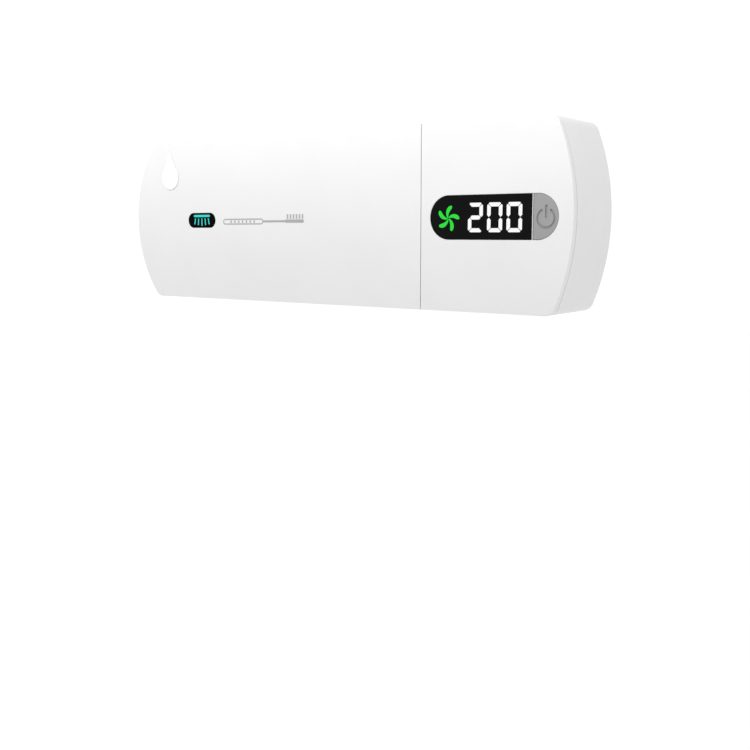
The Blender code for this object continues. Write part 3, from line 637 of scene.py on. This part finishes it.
def add_lugs(shell):
    """Add a bored lug on each side of each knuckle, and clear the wall between the two."""
    half = KNUCKLE_HALF + GAP
    reach = half + LUG_THICK + GAP
    notch_back = HINGE_Y + KNUCKLE_RADIUS + GAP
    ear = ear_outline(reach=(0.0, 1.5 * MM))
    for x in KNUCKLE_XS:
        for side in (-1, 1):
            near, far = sorted((x + side * half, x + side * (half + LUG_THICK)))
            add(shell, [ear], near, far, "X")
        cut(shell, [pin_bore()], x - reach, x + reach, "X")
        notch = rectangle(x - half, x + half, FRONT_Y, notch_back)
        cut(shell, [notch], TOP_Z - WALL - GAP, TOP_Z + WALL, "Z")


def open_back(shell):
    """Cut the windows for the hooks and the holes for the cover's screws into the back."""
    screw_hole = 1.7 * MM
    windows = [rectangle(x - HOOK_HALF - GAP, x + HOOK_HALF + GAP, *WINDOW_Z) for x in HOOK_XS]
    holes = [circle(spot, screw_hole, HOLE_SEGMENTS) for spot in POST_SPOTS]
    cut(shell, windows + holes, BACK_INNER_Y - GAP, BACK_OUTER_Y + GAP, "Y")


def magnet_pocket(x):
    """Outline of the pocket for a magnet, or for the strike plate that it meets."""
    return circle((x, MAGNET_Z), POCKET_RADIUS, MAGNET_SEGMENTS)


def add_strike_bosses(shell):
    """Add the bosses whose pockets hold the strike plates."""
    half = 4.0 * MM
    depth = 5.0 * MM
    top_z = MAGNET_Z + half
    for x in MAGNET_XS:
        low = (x - half, PART_LINE_Y, FLOOR_Z - WALL / 2)
        high = (x + half, PART_LINE_Y + depth, top_z)
        boss = block("boss", low, high)
        round_edges(boss, SOFT_STEPS, at_z(top_z), width=0.6 * MM)
        combine(shell, boss, "UNION")
        cut(shell, [magnet_pocket(x)], PART_LINE_Y - WALL, PART_LINE_Y + POCKET_DEPTH, "Y")


def add_screw_bosses(shell):
    """Add the bored feet of the brush rack and the bored bosses of the main board."""
    for spot in RACK_FOOT_SPOTS:
        loops = ring(spot, outer=2.6 * MM, inner=SCREW_BORE)
        add(shell, loops, FLOOR_Z - WALL / 2, RACK_LOW.z - GAP, "Z")
    for spot in BOARD_BOSS_SPOTS:
        loops = ring(spot, BOSS_RADIUS, SCREW_BORE)
        add(shell, loops, BOARD_BOSS_Y, BACK_INNER_Y + WALL / 2, "Y")


def make_housing():
    """Tub of the case with its openings, hinge lugs and bosses."""
    shell = plate("housing_shell", [body_outline()], PART_LINE_Y, REAR_Y, "Y")
    round_edges(shell, BOLD_STEPS, at_y(REAR_Y), EDGE_ROUND)
    round_edges(shell, HIDDEN_STEPS, at_y(PART_LINE_Y), width=0.25 * MM)
    cut(shell, [body_outline(WALL)], FRONT_Y - WALL, BACK_INNER_Y, "Y")
    cut(shell, [body_outline(WALL)], BACK_OUTER_Y, WALL, "Y")
    open_floor(shell)
    open_top(shell)
    add_lugs(shell)
    open_back(shell)
    add_strike_bosses(shell)
    add_screw_bosses(shell)
    place(shell, "unit", WHITE, "white_shell", "rear_housing")


def round_cover(cover, is_outer):
    """Fillet a front cover: wide on its face where is_outer(point) holds, narrow elsewhere."""
    on_face = at_y(FRONT_Y)
    round_edges(cover, BOLD_STEPS, lambda point: on_face(point) and is_outer(point), EDGE_ROUND)
    for level in (FRONT_Y, COVER_BACK_Y):
        round_edges(cover, SMALL_STEPS, at_y(level), JOINT_ROUND, HARD_CREASE)


def door_bays():
    """Outlines of the shallow bays that leave ribs on the door's inner side."""
    left = -86.0 * MM
    right = 33.0 * MM
    columns = 5
    rows = ((-22.0 * MM, -1.0 * MM), (1.0 * MM, 24.0 * MM))
    rib_half = 0.8 * MM
    corner = 2.0 * MM
    step = (right - left) / columns
    lefts = [left + column * step + rib_half for column in range(columns)]
    width = step - 2 * rib_half
    return [rounded(u, u + width, low, high, corner) for u in lefts for low, high in rows]


def drop_outline(grow=0.0):
    """Water drop: a round bowl closed by two straight flanks that meet at a tip."""
    width = EMBLEM_HIGH.x - EMBLEM_LOW.x
    radius = width / 2 + grow
    bowl_z = EMBLEM_LOW.z + width / 2
    tip = radius * (EMBLEM_HIGH.z - bowl_z) / (width / 2)
    spread = acos(radius / tip)
    bowl = arc((0.0, 0.0), radius, pi / 2 + spread, 5 * pi / 2 - spread, ROUND_SEGMENTS)
    return shifted(bowl + [(0.0, tip)], (EMBLEM_LOW.x + EMBLEM_HIGH.x) / 2, bowl_z)


def badge_outline(grow=0.0):
    """Pill of the badge."""
    half = (BADGE_HIGH.z - BADGE_LOW.z) / 2
    return pill(BADGE_LOW.x - grow, BADGE_HIGH.x + grow, half + grow)


def make_door():
    """Flip-up door with its ribs, knuckles, magnet pockets and the seats of its marks."""
    bay_depth = 0.6 * MM
    seat_depth = 1.0 * MM
    edge = DOOR_HIGH.x
    outline = [(edge, TOP_Z), (edge, -TOP_Z)] + end_curve(-1)[::-1]
    door = plate("door_shell", [outline], FRONT_Y, COVER_BACK_Y, "Y")
    round_cover(door, lambda point: point.x < edge - SLACK)
    cut(door, door_bays(), COVER_BACK_Y - bay_depth, COVER_BACK_Y + WALL, "Y")
    ear = ear_outline((COVER_BACK_Y - ROOT_DEPTH - HINGE_Y, 0.0))
    for x in KNUCKLE_XS:
        add(door, [ear, pin_bore()], x - KNUCKLE_HALF, x + KNUCKLE_HALF, "X")
    pockets = [magnet_pocket(x) for x in MAGNET_XS]
    cut(door, pockets, COVER_BACK_Y - POCKET_DEPTH, COVER_BACK_Y + WALL, "Y")
    seats = [badge_outline(grow=0.05 * MM), drop_outline(grow=0.09 * MM)]
    cut(door, seats, FRONT_Y - WALL, FRONT_Y + seat_depth, "Y")
    place(door, "front_door", WHITE, "white_shell", "door")


def make_door_marks():
    """Badge and raised drop that sit in the door, with the flat marks."""
    badge = plate("badge_plate", [badge_outline()], FRONT_Y, BADGE_HIGH.y, "Y")
    round_edges(badge, SMALL_STEPS, at_y(FRONT_Y), width=0.12 * MM)
    place(badge, "front_door", BADGE_BLACK, "badge_black", "door_badge")
    emblem = plate("emblem_relief", [drop_outline()], EMBLEM_LOW.y, EMBLEM_HIGH.y, "Y")
    round_edges(emblem, BOLD_STEPS, at_y(EMBLEM_LOW.y), width=0.38 * MM)
    # The drop takes the lighter copy of the white plastic, a painted highlight
    place(emblem, "front_door", HIGHLIT_RELIEF_WHITE, "white_shell", "door_emblem")
    make_badge_glyph()
    make_pictogram()


def mark(name, loops, level, body, material, slot, proud=MARK_PROUD):
    """Flat mark that stands a hair proud of the face it lies on."""
    flat = plate(name, loops, level - proud, level + MARK_SUNK, "Y")
    place(flat, body, material, slot)


def make_badge_glyph():
    """Lit sign of a lamp bar with rays under it."""
    middle = (BADGE_LOW.x + BADGE_HIGH.x) / 2
    bar_reach = 5.1 * MM
    bar_half = 0.5 * MM
    bar_z = 1.95 * MM
    ray_pitch = 2.05 * MM
    ray_lean = 0.24 * MM
    ray_half = 0.32 * MM
    top = 0.85 * MM
    lowest = -2.4 * MM
    rise = 0.3 * MM
    loops = [shifted(pill(-bar_reach, bar_reach, bar_half), middle, bar_z)]
    for k in range(-2, 3):
        head = middle + ray_pitch * k
        foot = head + ray_lean * k
        bottom = lowest + rise * abs(k)
        left_side = [(head - ray_half, top), (foot - ray_half, bottom)]
        right_side = [(foot + ray_half, bottom), (head + ray_half, top)]
        loops.append(left_side + right_side)
    mark("badge_glyph", loops, FRONT_Y, "front_door", LIT_CYAN, "lit_cyan")


def make_pictogram():
    """Printed sign of a toothbrush lying down, in place of words."""
    left = -55.8 * MM
    right = -9.0 * MM
    z = -0.75 * MM
    handle_right = left + 24.0 * MM
    handle_half = 1.3 * MM
    line = 0.55 * MM
    neck_left = left + 23.6 * MM
    neck_half = 0.45 * MM
    head_left = right - 10.5 * MM
    head_half = 0.7 * MM
    handle = [pill(left + inset, handle_right - inset, handle_half - inset) for inset in (0.0, line)]
    neck = [pill(neck_left, right, neck_half)]
    head = [pill(head_left, right, head_half)]

    tuft_xs = [right - 9.4 * MM + 1.65 * k * MM for k in range(6)]
    tuft_width = 0.85 * MM
    tuft_zs = (0.95 * MM, 2.9 * MM)
    grip_xs = [left + 4.5 * MM + 2.3 * k * MM for k in range(7)]
    grip_width = 0.8 * MM
    grip_zs = (-0.55 * MM, 0.55 * MM)
    bars = [rectangle(x, x + tuft_width, *tuft_zs) for x in tuft_xs]
    bars += [rectangle(x, x + grip_width, *grip_zs) for x in grip_xs]

    # Each stroke overlaps the one before, so it stands a little prouder
    ink = ("front_door", PRINT_GREY, "print_grey")
    least_proud = 0.01 * MM
    more_proud = 0.005 * MM
    for number, stroke in enumerate([handle, neck, head], 1):
        loops = [shifted(loop, 0.0, z) for loop in stroke]
        proud = least_proud + more_proud * number
        mark(f"pictogram_stroke_{number}", loops, FRONT_Y, *ink, proud)
    mark("pictogram_marks", [shifted(bar, 0.0, z) for bar in bars], FRONT_Y, *ink)


def make_control_cover():
    """Fixed cover with its pill window, the rib across it and the posts behind it."""
    rib_sink = 0.25 * MM
    edge = COVER_LOW.x
    outline = end_curve(1) + [(edge, -TOP_Z), (edge, TOP_Z)]
    cover = plate("control_shell", [outline], FRONT_Y, COVER_BACK_Y, "Y")
    round_cover(cover, lambda point: point.x > edge + SLACK)
    window = pill(PILL_LEFT, PILL_RIGHT, PILL_HALF)
    cut(cover, [window], FRONT_Y - WALL, COVER_BACK_Y + WALL, "Y")
    rib = rectangle(*RIB_X, -PILL_HALF - GAP, PILL_HALF + GAP)
    add(cover, [rib], FRONT_Y + rib_sink, COVER_BACK_Y - rib_sink, "Y")

    def on_window(point):
        """Test for the window's rim on the cover's face."""
        in_height = abs(point.z) < PILL_HALF + SLACK
        return at_y(FRONT_Y)(point) and in_height and PILL_LEFT - GAP < point.x < PILL_RIGHT + GAP

    round_edges(cover, SMALL_STEPS, on_window, width=0.18 * MM, sharper_than=HARD_CREASE)
    for spot in POST_SPOTS:
        loops = ring(spot, BOSS_RADIUS, inner=1.5 * MM)
        add(cover, loops, COVER_BACK_Y - ROOT_DEPTH, BACK_INNER_Y - GAP, "Y")
    place(cover, "unit", WHITE, "white_shell", "control_cover")


def make_lens():
    """Black window between the cover's rib and the round end of the pill."""
    play = 0.06 * MM
    outline = pill(PILL_LEFT + play, RIB_X[0] - play, PILL_HALF - play, round_right=False)
    lens = plate("lens_glass", [outline], LENS_LOW.y, LENS_HIGH.y, "Y")
    round_edges(lens, SMALL_STEPS, at_y(LENS_LOW.y), width=0.1 * MM)
    place(lens, "unit", DISPLAY_BLACK, "black_glass", "display_lens")
    make_digits()
    make_fan_symbol()


def flipped(loop, u_sign, v_sign):
    """Outline mirrored where a sign is -1."""
    return [(u_sign * u, v_sign * v) for u, v in loop]


def both_sides(left):
    """Closed outline made of its left points, from the bottom up, and their mirror images."""
    return left + flipped(left, -1, 1)[::-1]


def segment_loops(width, height, stroke, chamfer, gap):
    """The seven strokes of a digit about its centre, by letter."""
    w, h, e = width / 2, height / 2, gap / 2
    slant = chamfer / 2
    trim = e * 0.2
    shoulder = stroke * 0.62
    waist = stroke * 0.55
    tip = e * 1.4
    end = w - stroke / 2 - e * 2.0
    inner = w - stroke
    top = [(-inner + e, h - stroke + trim), (-w + slant + e, h - slant + e), (-w + chamfer, h)]
    upper_left = [
        (-w + slant - e, h - slant - e),
        (-inner - trim, h - stroke - e),
        (-inner - trim, shoulder),
        (-w + stroke / 2, tip),
        (-w, waist),
        (-w, h - chamfer),
    ]
    middle = [(-inner + e, -stroke / 2), (-end, 0.0), (-inner + e, stroke / 2)]
    return {
        "a": both_sides(top),
        "b": flipped(upper_left, -1, 1),
        "c": flipped(upper_left, -1, -1),
        "d": flipped(both_sides(top), 1, -1),
        "e": flipped(upper_left, 1, -1),
        "f": upper_left,
        "g": both_sides(middle),
    }


def make_digits():
    """Three lit seven-segment digits."""
    sizes = {"width": 6.25 * MM, "height": 10.7 * MM, "stroke": 1.48 * MM}
    strokes = segment_loops(**sizes, chamfer=1.0 * MM, gap=0.2 * MM)
    shown = (("2", 73.25 * MM), ("0", 81.3 * MM), ("0", 89.3 * MM))
    z = -0.08 * MM
    lit = {"2": "abged", "0": "abcdef"}
    for number, (digit, x) in enumerate(shown, 1):
        loops = [shifted(strokes[letter], x, z) for letter in lit[digit]]
        mark(f"display_digit_{number}", loops, LENS_LOW.y, "unit", LIT_WHITE, "lit_white")


def make_fan_symbol():
    """Lit fan sign of five swept blades, each a stroke along an arc that swells to a blunt tip."""
    hub = (61.5 * MM, -0.35 * MM)
    chord = 4.75 * MM
    swept = radians(95)
    first_tip = radians(69)
    blades = 5
    steps = 24
    root = 0.045
    swell = 1.33 * MM
    rise = 0.76
    blunt = 2.45
    radius = chord / 2 / sin(swept / 2)
    loops = []
    for blade in range(blades):
        heading = first_tip + swept / 2 - 2 * pi * blade / blades
        pivot = at(hub, radius, heading - pi / 2)
        left, right = [], []
        for step in range(steps + 1):
            share = root + (1 - root) * step / steps
            half = swell * share ** rise * sqrt(1 - share ** blunt)
            turn = heading + pi / 2 - swept * share
            left.append(at(pivot, radius + half, turn))
            right.append(at(pivot, radius - half, turn))
        loops.append(left + right[-2::-1])
    mark("display_fan_symbol", loops, LENS_LOW.y, "unit", LIT_GREEN, "lit_green")


def power_sign():
    """Loops of the power sign: an open ring with round ends, and a bar in its opening."""
    centre = (101.85 * MM, -0.6 * MM)
    radius = 3.3 * MM
    half = 0.46 * MM
    opening = radians(33)
    start = pi / 2 + opening
    end = 5 * pi / 2 - opening
    left_end, right_end = at(centre, radius, start), at(centre, radius, end)
    outline = arc(centre, radius + half, start, end, ARC_SEGMENTS)
    outline += arc(right_end, half, end, end + pi, TURN_SEGMENTS)[1:-1]
    outline += arc(centre, radius - half, end, start, ARC_SEGMENTS)
    outline += arc(left_end, half, start + pi, start + 2 * pi, TURN_SEGMENTS)[1:-1]
    bar = upright(pill(left=0.05 * MM, right=4.7 * MM, half=half))
    return outline, shifted(bar, *centre)


def make_key():
    """Power key with its flange behind the cover and its sign engraved."""
    left_play = 0.05 * MM
    play = 0.08 * MM
    cap_depth = 0.5 * MM
    flange_thick = 1.0 * MM
    groove_depth = 0.42 * MM
    over = 1.0 * MM
    flange_y = COVER_BACK_Y + GAP
    outline = pill(KEY_LEFT + left_play, PILL_RIGHT - play, PILL_HALF - play, round_left=False)
    key = plate("key_cap", [outline], KEY_LOW.y, flange_y + cap_depth, "Y")
    round_edges(key, BOLD_STEPS, at_y(KEY_LOW.y), width=0.35 * MM)
    flange_left = KEY_LEFT - 0.6 * MM
    flange_right = PILL_RIGHT + 0.7 * MM
    flange_half = PILL_HALF + 0.65 * MM
    flange = pill(flange_left, flange_right, flange_half, round_left=False)
    add(key, [flange], flange_y, flange_y + flange_thick, "Y")
    for loop in power_sign():
        cut(key, [loop], KEY_LOW.y - over, KEY_LOW.y + groove_depth, "Y")
    place(key, "key", KEY_GREY, "key_grey", "power_key")


# Brush bay

def make_rack():
    """Comb that holds the grips, with the holes for its two screws."""
    outline = [(RACK_HIGH.x, RACK_HIGH.y), (RACK_LOW.x, RACK_HIGH.y), (RACK_LOW.x, RACK_LOW.y)]
    for x in SLOT_XS:
        outline += u_slot(x, RACK_SLOT_HALF, RACK_LOW.y)
    outline.append((RACK_HIGH.x, RACK_LOW.y))
    holes = [circle(spot, SCREW_BORE, HOLE_SEGMENTS) for spot in RACK_FOOT_SPOTS]
    rack = plate("rack_comb", [outline] + holes, RACK_LOW.z, RACK_HIGH.z, "Z")
    round_edges(rack, SMALL_STEPS, at_z(RACK_HIGH.z), width=0.4 * MM)
    place(rack, "unit", RACK_GREY, "rack_plastic", "brush_rack")


def make_grips():
    """Silicone grips with a flange over the comb."""
    flange_sink = 0.1 * MM
    for number, ((low, high), x) in enumerate(zip(GRIPS, SLOT_XS), 1):
        inside = u_slot(x, GRIP_INNER, low.y)[::-1]
        neck = u_slot(x, GRIP_OUTER, low.y) + inside
        grip = plate(f"grip_{number}", [neck], low.z, GRIP_STEP_Z, "Z")
        lip = u_slot(x, GRIP_FLANGE, low.y) + inside
        flange = plate("flange", [lip], GRIP_STEP_Z - flange_sink, high.z, "Z")
        round_edges(flange, SOFT_STEPS, at_z(high.z), width=0.35 * MM)
        combine(grip, flange, "UNION")
        place(grip, "unit", SILICONE, "grip_rubber", f"slot_grip_{number}")


def make_lamp():
    """Quartz tube with its electrodes, and the reflector behind it."""
    thick = 0.6 * MM
    below = radians(-55)
    above = radians(140)
    axis = ((TUBE_LOW.y + TUBE_HIGH.y) / 2, (TUBE_LOW.z + TUBE_HIGH.z) / 2)
    radius = (TUBE_HIGH.y - TUBE_LOW.y) / 2
    walls = [circle(axis, radius), circle(axis, radius - thick)]
    tube = plate("lamp_quartz", walls, TUBE_LOW.x, TUBE_HIGH.x, "X")
    place(tube, "unit", QUARTZ, "lamp_glass", "lamp_tube")
    make_electrode("lamp_electrode_left", TUBE_LOW.x, 1, axis)
    make_electrode("lamp_electrode_right", TUBE_HIGH.x, -1, axis)
    outer_radius = REFLECTOR_HIGH.z - axis[1]
    outer = arc(axis, outer_radius, below, above, ARC_SEGMENTS)
    inner = arc(axis, outer_radius - thick, above, below, ARC_SEGMENTS)
    sheet = plate("reflector_sheet", [outer + inner], REFLECTOR_LOW.x, REFLECTOR_HIGH.x, "X")
    place(sheet, "unit", MIRROR, "mirror_aluminium", "lamp_reflector")


def make_electrode(name, end_x, sense, axis):
    """Support wires and coiled filament at one end of the lamp; sense is +1 or -1 along X."""
    wire_start = 0.4 * MM
    wire_length = 6.0 * MM
    spread = 1.3 * MM
    coil_radius = 0.35 * MM
    coil_gap = 0.4 * MM
    turns = 9
    turn_steps = 10

    def spot(depth, across, up=0.0):
        """Point at a depth into the lamp and a distance beside and above its axis."""
        return Vector((end_x + sense * depth, axis[0] + across, axis[1] + up))

    points = [spot(wire_start, -spread), spot(wire_length, -spread)]
    for k in range(turns * turn_steps + 1):
        turn = 2 * pi * k / turn_steps
        across = -spread + 2 * spread * k / (turns * turn_steps)
        depth = wire_length + coil_gap + sense * coil_radius * cos(turn)
        points.append(spot(depth, across, coil_radius * sin(turn)))
    points += [spot(wire_length, spread), spot(wire_start, spread)]

    curve = bpy.data.curves.new(name, "CURVE")
    curve.dimensions = "3D"
    curve.bevel_depth = 0.12 * MM
    curve.bevel_resolution = 3
    curve.use_fill_caps = True
    spline = curve.splines.new("POLY")
    spline.points.add(len(points) - 1)
    for knot, point in zip(spline.points, points):
        knot.co = (*point, 1.0)
    place(from_curve(name, curve), "unit", STEEL, "steel")


# Fixings

def screw_profile(height, length, head_radius, shank_radius):
    """Half section of a pan-head screw from the top down, with z = 0 under its head."""
    rim = height * 0.45
    crown = height - rim
    angles = [radians(degrees) for degrees in range(0, 91, 15)]
    dome = [(head_radius * sin(angle), rim + crown * cos(angle)) for angle in angles]
    return dome + [(head_radius, 0.0), (shank_radius, 0.0), (shank_radius, -length), (0.0, -length)]


def make_screws():
    """Pan heads with a cross recess, for the screws that can be seen."""
    height = 1.2 * MM
    radii = {"head_radius": 2.0 * MM, "shank_radius": 1.0 * MM}
    cross_reach = 1.15 * MM
    cross_half = 0.22 * MM
    cross_depth = 0.55 * MM
    over = 1.0 * MM
    names = [f"cover_screw_{k}" for k in range(1, 5)] + [f"rack_screw_{k}" for k in range(1, 3)]
    for name in names:
        low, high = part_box(name)
        middle = (low + high) / 2
        if name.startswith("rack"):
            length = high.z - low.z - height
            spot, turn = (middle.x, middle.y, high.z - height), Matrix.Identity(4)
        else:
            length = high.y - low.y - height
            spot, turn = (middle.x, high.y - height, middle.z), Matrix.Rotation(-pi / 2, 4, "X")
        profile = screw_profile(height, length, **radii)
        screw = turned(f"{name}_body", profile, spot, turn)
        for half_u, half_v in ((cross_reach, cross_half), (cross_half, cross_reach)):
            low_corner = (-half_u, -half_v, height - cross_depth)
            tool = block("cross", low_corner, (half_u, half_v, height + over))
            tool.data.transform(Matrix.Translation(spot) @ turn)
            combine(screw, tool, "DIFFERENCE")
        place(screw, "unit", SCREW_STEEL, "steel", name)


def make_bracket():
    """Stamped wall plate with its two hooks."""
    hole_x = 45.2 * MM
    corner = 0.3 * MM
    thick = 1.8 * MM
    hook_back_y = -6.1 * MM
    hook_low = 2.0 * MM
    hook_arm = 4.0 * MM
    hook_high = 10.0 * MM
    holes = [circle((x, 0.0), SCREW_BORE, HOLE_SEGMENTS) for x in (-hole_x, hole_x)]
    outline = rounded(BRACKET_LOW.x, BRACKET_HIGH.x, BRACKET_LOW.z, BRACKET_HIGH.z, corner)
    back_y = BRACKET_HIGH.y
    front_y = back_y - thick
    bracket = plate("bracket_plate", [outline] + holes, front_y, back_y, "Y")
    round_edges(bracket, SMALL_STEPS, at_y(back_y), width=0.25 * MM)
    root = front_y + 0.5 * MM
    hook = [(root, hook_low), (root, hook_arm), (hook_back_y, hook_arm), (hook_back_y, hook_high)]
    hook += [(BRACKET_LOW.y, hook_high), (BRACKET_LOW.y, hook_low)]
    for x in HOOK_XS:
        add(bracket, [hook], x - HOOK_HALF, x + HOOK_HALF, "X")
    place(bracket, "wall_mount", STEEL, "steel", "wall_bracket")


def make_port():
    """Charging socket with contact strips on its tongue."""
    back_wall = 1.0 * MM
    tongue_half_x = 3.2 * MM
    tongue_half_y = 0.35 * MM
    tongue_sink = 1.0 * MM
    tongue_root = 0.5 * MM
    contacts = 12
    contact_pitch = 0.5 * MM
    contact_half = 0.13 * MM
    contact_proud = 0.03 * MM
    shell = plate("port_shell", [port_outline()], PORT_LOW.z, PORT_HIGH.z, "Z")
    cut(shell, [port_outline(-GAP)], PORT_LOW.z - WALL, PORT_HIGH.z - back_wall, "Z")
    place(shell, "unit", STEEL, "steel", "charging_port")

    middle = (PORT_HIGH + PORT_LOW) / 2
    front_y = middle.y - tongue_half_y
    back_y = middle.y + tongue_half_y
    low_z = PORT_LOW.z + tongue_sink
    low_corner = (middle.x - tongue_half_x, front_y, low_z)
    high_corner = (middle.x + tongue_half_x, back_y, PORT_HIGH.z - tongue_root)
    place(block("port_tongue", low_corner, high_corner), "unit", PART_BLACK, "part_black")

    first_x = middle.x - contact_pitch * (contacts - 1) / 2
    contact_xs = [first_x + contact_pitch * k for k in range(contacts)]
    contact_zs = (low_z + 0.3 * MM, low_z + 3.5 * MM)
    pads = [rectangle(x - contact_half, x + contact_half, *contact_zs) for x in contact_xs]
    strip = plate("port_contacts", pads, front_y - contact_proud, back_y + contact_proud, "Y")
    place(strip, "unit", CONTACT_GOLD, "steel")


def make_partition():
    """Wall between bay and fan, with its grille."""
    bore = 9.3 * MM
    slot_pitch = 2.4 * MM
    slot_half = 0.8 * MM
    rim = 0.6 * MM
    outline = rectangle(PARTITION_LOW.y, PARTITION_HIGH.y, PARTITION_LOW.z, PARTITION_HIGH.z)
    centre_y, centre_z = (FAN_LOW.y + FAN_HIGH.y) / 2, (FAN_LOW.z + FAN_HIGH.z) / 2
    grille = []
    for k in range(-3, 4):
        offset = slot_pitch * k
        reach = sqrt(bore ** 2 - offset ** 2) - rim
        grille.append(shifted(upright(pill(-reach, reach, slot_half)), centre_y + offset, centre_z))
    wall = plate("partition_wall", [outline] + grille, PARTITION_LOW.x, PARTITION_HIGH.x, "X")
    bay_face = PARTITION_LOW.x + SLACK
    round_edges(wall, HIDDEN_STEPS, lambda point: point.x < bay_face, width=0.3 * MM)
    place(wall, "unit", INNER_WHITE, "white_shell", "partition")


# Nodes that keep their CAD shape, by material
CARRIED = (
    (FOAM, ["adhesive_pad"]),
    (STEEL, ["strike_plate_left", "strike_plate_right", "hinge_pin_left", "hinge_pin_right"]),
    (NICKEL, ["door_magnet_left", "door_magnet_right"]),
    (RACK_GREY, ["lamp_cap_left", "lamp_cap_right", "lamp_clip_left", "lamp_clip_right"]),
    (PART_BLACK, ["fan_frame", "fan_rotor", "digit_module", "key_switch"]),
    (PART_BLACK, ["lamp_driver", "door_sensor"]),
    (BOARD, ["display_board", "main_board"]),
    (SCREW_STEEL, [f"display_screw_{number}" for number in range(1, 5)]),
    (SCREW_STEEL, [f"main_board_screw_{number}" for number in range(1, 3)]),
    (CELL_WRAP, ["battery_pack"]),
)


def dress_cad_nodes():
    """Give the CAD nodes that stay on show their procedural materials."""
    for material, nodes in CARRIED:
        for node in nodes:
            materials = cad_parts[node].data.materials
            materials.clear()
            materials.append(material)


# Studio

def make_camera():
    """Camera at the same angle as the reference view, aimed without shift."""
    from_seam = 208.1 * MM
    from_face = 315.3 * MM
    over_underside = 29.1 * MM
    look_down = 8.24
    swing = 36.08
    lens = bpy.data.cameras.new("camera")
    lens.lens = 46.89
    lens.sensor_width = 36.0
    lens.clip_start = 0.01
    lens.clip_end = 50.0
    camera = link("camera", lens)
    camera.location = (SEAM_X + from_seam, FRONT_Y - from_face, -TOP_Z + over_underside)
    camera.rotation_euler = (radians(90 - look_down), 0.0, radians(swing))
    bpy.context.scene.camera = camera


def make_floor():
    """Plain pale floor well under the case, with a faint glow so that it stays white."""
    paint_scale, wear_scale = 3.0, 8.0
    bpy.ops.mesh.primitive_plane_add(size=12.0, location=(0.0, 0.0, -0.6))
    floor = bpy.context.active_object
    floor.name = "floor"
    glow = {"Emission Color": (1.0, 1.0, 1.0, 1.0), "Emission Strength": 0.03}
    made = Surface("floor_paint", glow)
    made.mix((0.97, 0.97, 0.97), (0.99, 0.99, 0.99), made.span(made.noise(paint_scale)))
    made.rough(made.noise(wear_scale), 0.75, 0.85)
    floor.data.materials.append(made.material)


def make_room():
    """White room that is a little brighter on the left."""
    left_strength, right_strength = 1.06, 1.0
    world = bpy.data.worlds.new("studio")
    world.use_nodes = True
    nodes, links = world.node_tree.nodes, world.node_tree.links
    sky = nodes["Background"]
    sky.inputs["Color"].default_value = (1.0, 1.0, 1.0, 1.0)
    where = nodes.new("ShaderNodeTexCoord")
    split = nodes.new("ShaderNodeSeparateXYZ")
    dim = nodes.new("ShaderNodeMapRange")
    dim.inputs["From Min"].default_value = -1.0
    dim.inputs["To Min"].default_value = left_strength
    dim.inputs["To Max"].default_value = right_strength
    links.new(where.outputs["Generated"], split.inputs["Vector"])
    links.new(split.outputs["X"], dim.inputs["Value"])
    links.new(dim.outputs["Result"], sky.inputs["Strength"])
    bpy.context.scene.world = world
    bpy.context.scene.view_settings.view_transform = "Standard"


def make_strip_light():
    """Long soft box over the front, which fades down the case."""
    in_front = 90 * MM
    above = 80 * MM
    aim_above = 8 * MM
    lamp = bpy.data.lights.new("front_strip", "AREA")
    lamp.shape = "RECTANGLE"
    lamp.size = 0.36
    lamp.size_y = 0.04
    lamp.energy = 0.072
    lamp.spread = radians(80)
    strip = link("front_strip", lamp)
    strip.location = (0.0, FRONT_Y - in_front, TOP_Z + above)
    target = Vector((0.0, FRONT_Y, TOP_Z + aim_above))
    strip.rotation_euler = (target - strip.location).to_track_quat("-Z", "Y").to_euler()
    strip.visible_camera = False


make_camera()
make_housing()
make_door()
make_door_marks()
make_control_cover()
make_lens()
make_key()
make_rack()
make_grips()
make_lamp()
make_screws()
make_bracket()
make_port()
make_partition()
dress_cad_nodes()
make_floor()
make_room()
make_strip_light()
